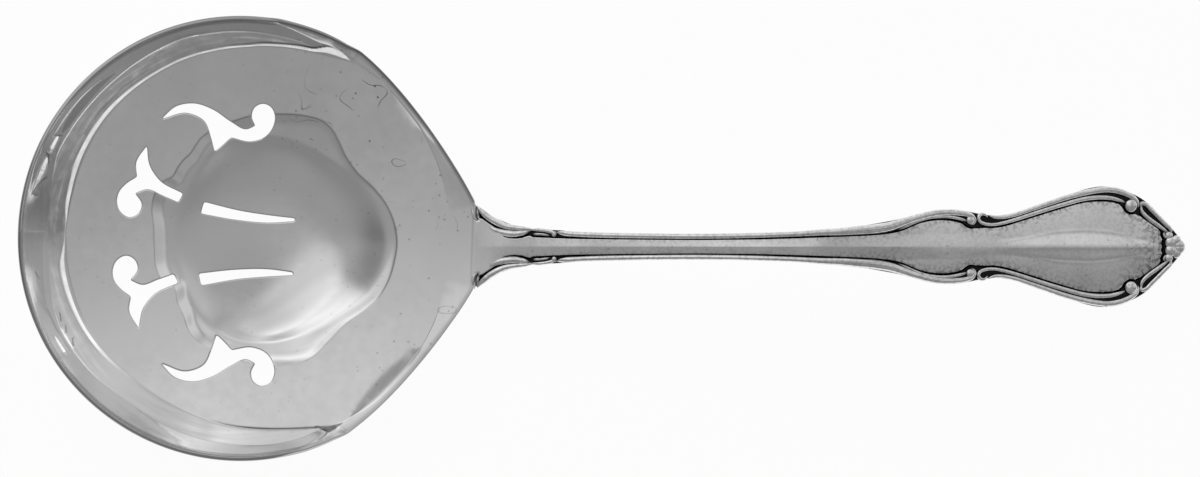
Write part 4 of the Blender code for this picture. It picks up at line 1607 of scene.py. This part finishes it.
def set_recess_tarnish_and_shade(piece):
    """Oxide and painted shade in the recesses: dark low on the strands, but not on the handle's own edge.
    """
    mesh = piece.data
    coords = np.empty(len(mesh.vertices) * 3)
    mesh.vertices.foreach_get("co", coords)
    coords = coords.reshape(-1, 3) / MM
    x, y, z = coords.T
    # oxide and painted shade low on the strands and balls, where they meet the body
    low = ease(face_level(x, y) - z, -0.06, 0.1)
    inner = ease(half_width(x) - np.abs(y), 0.1, 0.4)
    add_values(piece, "tarnish_and_shade", "FLOAT", low * inner)
    add_values(piece, "soil", "FLOAT", np.full(len(x), 0.3))
    add_values(piece, "satin", "FLOAT", ease(x, *SATIN_START))


def build_scrolls(finish):
    """Strands and balls of the struck border, on both sides of the handle."""
    coords, edges, girth = [], [], []
    for path in SCROLLS:
        for flip in (1, -1):
            line = smooth_line(path, 8)
            x, y = line[:, 0], flip * line[:, 1]
            z = face_level(x, y) - BORDER_SINK + line[:, 3]
            first = len(coords)
            coords += np.column_stack((x, y, z)).tolist()
            girth += np.maximum(line[:, 2], 0.03).tolist()
            edges += [(k, k + 1) for k in range(first, len(coords) - 1)]
    settings = {"Section points": 14, "Section height": 0.85}
    strands = grow("handle_strands", np.array(coords), edges, girth, strand_tree(finish), settings)

    x, y, radius = np.array([(x, flip * y, r) for x, y, r in BALLS for flip in (1, -1)]).T
    spots = np.column_stack((x, y, face_level(x, y) - BORDER_SINK))
    settings = {"Facets": 20, "Ball height": 0.5}
    balls = grow("handle_balls", spots, [], radius, ball_tree(finish), settings)
    for piece in (strands, balls):
        set_recess_tarnish_and_shade(piece)
    return strands, balls


# ---------------------------------------------------------------- finishes, in metres

# Greys of the silver, of its dust and soil, of the bowl's painted shade, and of the oxide and painted
# shade in the handle's recesses
BOWL_BRIGHT, BOWL_CLOUDED = 0.87, 0.79
HANDLE_BRIGHT, HANDLE_CLOUDED = 0.86, 0.78
DUST_GREY = 0.5
GRIME_GREY = 0.2
SPECK_GREY = 0.16
PIT_GREY = 0.12
BOWL_SHADE_GREY = 0.05
RECESS_GREY = 0.02


class Bench:
    """A node tree and short ways to add to it."""

    def __init__(self, tree):
        self.nodes, self.link = tree.nodes, tree.links.new
        self.where = self.nodes.new("ShaderNodeTexCoord")

    def add(self, kind, **settings):
        """A node with some of its settings."""
        node = self.nodes.new("ShaderNode" + kind)
        for name, value in settings.items():
            setattr(node, name, value)
        return node

    def fill(self, node, **values):
        """Numbers, or other nodes' outputs, on a node's sockets by name."""
        for name, value in values.items():
            self.put(node.inputs[name.replace("_", " ")], value)

    def put(self, socket, value):
        """A number or another node's output on a socket."""
        if isinstance(value, bpy.types.NodeSocket):
            self.link(value, socket)
        else:
            socket.default_value = value

    def calc(self, operation, first, second):
        """Sum, product or the like of two values."""
        node = self.add("Math", operation=operation)
        self.put(node.inputs[0], first)
        self.put(node.inputs[1], second)
        return node.outputs["Value"]

    def times(self, first, second):
        """Product of two patterns."""
        return self.calc("MULTIPLY", first, second)

    def noise(self, scale, detail, where=None):
        """A noise pattern on the piece, or on what else is given."""
        spread = self.add("TexNoise")
        where = self.where.outputs["Object"] if where is None else where
        self.fill(spread, Scale=scale, Detail=detail, Vector=where)
        return spread.outputs["Fac"]

    def spots(self, scale, full, end):
        """Small spots on the piece, one to a cell: reach of their middles and of their edges."""
        cells = self.add("TexVoronoi", feature="F1")
        self.fill(cells, Scale=scale, Vector=self.where.outputs["Object"])
        return self.levels(cells.outputs["Distance"], full, end, 1.0, 0.0)

    def levels(self, source, low, high, start, end, kind="LINEAR"):
        """A pattern's range mapped onto another."""
        span = self.add("MapRange", interpolation_type=kind)
        self.fill(span, Value=source, From_Min=low, From_Max=high, To_Min=start, To_Max=end)
        return span.outputs["Result"]

    def carried(self, name, output="Fac"):
        """A named value of the piece."""
        return self.add("Attribute", attribute_name=name).outputs[output]

    def blend(self, first, grey, factor):
        """A colour, or a grey, that turns to another grey."""
        mix = self.add("Mix", data_type="RGBA")
        for label, value in (("A", first), ("B", grey)):
            self.put(mix.inputs[label], (value, value, value, 1) if isinstance(value, float) else value)
        self.link(factor, mix.inputs["Factor"])
        return mix.outputs["Result"]


def new_finish(name):
    """A node material, its bench and its shader."""
    finish = bpy.data.materials.new(name)
    finish.use_nodes = True
    return finish, Bench(finish.node_tree), finish.node_tree.nodes["Principled BSDF"]


def bowl_silver():
    """Bright, worn silver: soft tarnished clouds, dark pits, hairline scratches, a streaked wall, painted
    shade along its creases and edges.
    """
    finish, bench, shader = new_finish("bowl_silver")
    clouds = bench.levels(bench.noise(70.0, 3.0), 0.4, 0.7, 0.0, 1.0)
    tone = bench.blend(BOWL_BRIGHT, BOWL_CLOUDED, clouds)

    wear = bench.carried("wear")
    patches = bench.levels(bench.noise(160.0, 2.0), 0.41, 0.53, 0.0, 1.0)
    pits = bench.times(bench.spots(900.0, 0.06, 0.15), patches)
    tone = bench.blend(tone, PIT_GREY, bench.times(pits, wear))

    contour = bench.calc("PINGPONG", bench.noise(130.0, 2.0), 0.07)
    hairs = bench.levels(contour, 0.0015, 0.005, 1.0, 0.0)
    hairs = bench.times(hairs, bench.levels(bench.noise(210.0, 1.0), 0.58, 0.64, 0.0, 0.8))
    hairs = bench.times(hairs, bench.levels(wear, 0.25, 0.8, 0.0, 1.0))
    tone = bench.blend(tone, PIT_GREY, hairs)
    # painted shade along the bowl's creases and edges, on its wall and on its rim
    tone = bench.blend(tone, BOWL_SHADE_GREY, bench.carried("tarnish_and_shade"))
    rough = bench.levels(bench.noise(900.0, 3.0), 0.3, 0.7, 0.1, 0.18)

    # Streaks that run round the wall
    along = bench.add("VectorMath", operation="MULTIPLY")
    bench.put(along.inputs[0], bench.carried("round", "Vector"))
    bench.put(along.inputs[1], (2.4, 2.4, 1.1))
    streaks = bench.noise(1.0, 1.5, along.outputs["Vector"])
    press = bench.add("Bump")
    bench.fill(press, Distance=0.00004, Strength=bench.carried("wall"), Height=streaks)
    bench.fill(shader, Base_Color=tone, Metallic=1.0, Roughness=rough, Normal=press.outputs["Normal"])
    return finish


def handle_silver():
    """Satin silver worn bright on the panel, soiled at its edges, near black with oxide and painted shade
    in the recesses.
    """
    finish, bench, shader = new_finish("handle_silver")
    clouds = bench.levels(bench.noise(330.0, 5.0), 0.38, 0.64, 0.0, 1.0)
    tone = bench.blend(HANDLE_BRIGHT, HANDLE_CLOUDED, clouds)
    tone = bench.blend(tone, DUST_GREY, bench.levels(bench.noise(3600.0, 3.0), 0.52, 0.78, 0.0, 0.25))

    soil = bench.carried("soil")
    specks = bench.spots(1300.0, 0.08, 0.2)
    specks = bench.times(specks, bench.levels(bench.noise(420.0, 2.0), 0.44, 0.58, 0.0, 0.9))
    specks = bench.times(specks, bench.levels(soil, 0.0, 0.6, 0.35, 1.0))
    tone = bench.blend(tone, SPECK_GREY, specks)
    grime = bench.levels(bench.noise(2600.0, 3.0), 0.47, 0.58, 0.0, 0.8)
    tone = bench.blend(tone, GRIME_GREY, bench.times(grime, soil))
    # near black in the recesses: oxide and painted shade
    tone = bench.blend(tone, RECESS_GREY, bench.carried("tarnish_and_shade"))

    # Rougher where the satin is, as bright as the bowl near it
    satin = bench.carried("satin")
    matt = bench.times(bench.levels(bench.noise(500.0, 4.0), 0.3, 0.7, 0.02, 0.08), satin)
    rough = bench.calc("ADD", matt, 0.11)
    grain = bench.add("Bump")
    strength = bench.levels(satin, 0.0, 1.0, 0.03, 0.12)
    bench.fill(grain, Distance=0.00002, Strength=strength, Height=bench.noise(1700.0, 3.0))
    bench.fill(shader, Base_Color=tone, Metallic=1.0, Roughness=rough, Normal=grain.outputs["Normal"])
    return finish


# ---------------------------------------------------------------- stage, in metres

TABLE_HALF = 0.6
TABLE_SHADE = 0.95  # share of plain white in what the camera and the silver see of the table
HORIZON_LIGHT = 0.75  # white sweep round the table
HORIZON_HEIGHTS = (0.13, 0.205)
HORIZON_SIDES = (0.6, 0.85)  # the sweep ends here on the room's far side
ROOM_LIGHT = 0.267
SIDE_LIGHT = 0.085  # more on the room's far side
SIDE_RANGE = (-0.156, 0.103)
# Soft lights and shades of the room: direction, angles of full and of fading, strength
SOFT_LIGHTS = (
    ((-0.209, 0.434, 0.876), 20.5, 28.5, 0.3),
    ((-0.306, 0.903, 0.302), 17.1, 46.1, 0.56),
    ((-0.217, 0.758, 0.615), 28.0, 39.4, 0.291),
    ((-0.068, 0.646, 0.760), 15.4, 33.9, -0.3),
    ((0.660, 0.467, 0.588), 25.3, 41.0, 0.167),
    ((0.497, -0.523, 0.692), 4.0, 21.5, 0.1),
    ((0.6, 0.36, 0.71), 6.0, 17.0, 0.16),
    ((-0.24, 0.94, 0.25), 10.0, 29.0, -0.5),
    ((0.96, 0.05, 0.26), 12.0, 34.0, -0.08),
    ((0.45, 0.85, 0.28), 8.0, 22.0, 0.1),
    ((-0.298, -0.070, 0.952), 16.4, 46.2, 0.062),
    ((-0.94, 0.1, 0.33), 15.0, 31.0, -0.1),
)
SOFTBOX_PLACE = (-0.32, 0.45, 0.42)
SOFTBOX_AIM = (0.01, 0, 0)
SOFTBOX_SIZE = 0.35
SOFTBOX_POWER = 1.6
VIEW_WIDTH = 0.1307
CAMERA_PLACE = (0.03921, 0.000893, 0.5)


def floor_finish():
    """White table: white to the camera and in the silver, a little shaded by the spoon."""
    finish, bench, shader = new_finish("white_table")
    bench.fill(shader, Base_Color=(0.92, 0.92, 0.92, 1), Roughness=0.9)
    glow = bench.add("Emission")
    bench.fill(glow, Strength=1.0)
    path = bench.add("LightPath")
    seen = path.outputs["Is Camera Ray"]
    for ray in ("Is Glossy Ray", "Is Transmission Ray"):
        seen = bench.calc("MAXIMUM", seen, path.outputs[ray])
    mix = bench.add("MixShader")
    bench.fill(mix, Fac=bench.times(seen, TABLE_SHADE))
    bench.link(shader.outputs["BSDF"], mix.inputs[1])
    bench.link(glow.outputs["Emission"], mix.inputs[2])
    bench.link(mix.outputs["Shader"], bench.nodes["Material Output"].inputs["Surface"])
    return finish


def build_table():
    """The white table that the spoon lies on."""
    mesh = bpy.data.meshes.new("table")
    corners = [(x * TABLE_HALF, y * TABLE_HALF, 0) for x, y in ((-1, -1), (1, -1), (1, 1), (-1, 1))]
    mesh.from_pydata(corners, [], [(0, 1, 2, 3)])
    table = bpy.data.objects.new("table", mesh)
    mesh.materials.append(floor_finish())
    bpy.context.scene.collection.objects.link(table)


def light_room():
    """A room of soft lights and shades above the table's white sweep, and one softbox."""
    world = bpy.data.worlds.new("studio")
    bpy.context.scene.world = world
    world.use_nodes = True
    bench = Bench(world.node_tree)
    ray = bench.where.outputs["Generated"]
    split = bench.add("SeparateXYZ")
    bench.fill(split, Vector=ray)
    sweep = bench.levels(split.outputs["Z"], *HORIZON_HEIGHTS, HORIZON_LIGHT, 0.0, "SMOOTHSTEP")
    near = bench.levels(split.outputs["Y"], *HORIZON_SIDES, 1.0, 0.0, "SMOOTHSTEP")
    light = bench.calc("ADD", bench.times(sweep, near), ROOM_LIGHT)
    side = bench.levels(split.outputs["Y"], *SIDE_RANGE, 0.0, SIDE_LIGHT, "SMOOTHSTEP")
    light = bench.calc("ADD", light, side)
    for direction, full, edge, strength in SOFT_LIGHTS:
        aim = bench.add("VectorMath", operation="DOT_PRODUCT")
        bench.put(aim.inputs[0], ray)
        bench.put(aim.inputs[1], Vector(direction).normalized())
        angle = bench.add("Math", operation="ARCCOSINE")
        bench.put(angle.inputs[0], aim.outputs["Value"])
        span = math.radians(full), math.radians(edge)
        glow = bench.levels(angle.outputs["Value"], *span, strength, 0.0, "SMOOTHSTEP")
        light = bench.calc("ADD", light, glow)
    bench.fill(bench.nodes["Background"], Color=(1, 1, 1, 1), Strength=light)

    lamp = bpy.data.lights.new("softbox", "AREA")
    lamp.shape = "DISK"
    lamp.size = SOFTBOX_SIZE
    lamp.energy = SOFTBOX_POWER
    key = bpy.data.objects.new("softbox", lamp)
    key.location = SOFTBOX_PLACE
    key.visible_glossy = False
    key.rotation_euler = (Vector(SOFTBOX_AIM) - key.location).to_track_quat("-Z", "Y").to_euler()
    bpy.context.scene.collection.objects.link(key)


def place_camera():
    """A camera straight above."""
    lens = bpy.data.cameras.new("overhead")
    lens.type = "ORTHO"
    lens.ortho_scale = VIEW_WIDTH
    lens.clip_end = 10.0
    camera = bpy.data.objects.new("overhead", lens)
    camera.location = CAMERA_PLACE
    bpy.context.scene.collection.objects.link(camera)
    bpy.context.scene.camera = camera


bowl_finish = bowl_silver()
handle_finish = handle_silver()

bowl = build_bowl()
bowl.data.materials.append(bowl_finish)
handle = build_handle()
handle.data.materials.append(handle_finish)
strands, balls = build_scrolls(handle_finish)

for piece, node, slot in (
    (bowl, "bowl", "bowl_silver"),
    (handle, "handle", "handle_silver"),
    (strands, "handle", "handle_silver"),
    (balls, "handle", "handle_silver"),
):
    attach(piece, "root")
    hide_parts(node)

bpy.context.scene.view_settings.view_transform = "Standard"
build_table()
light_room()
place_camera()
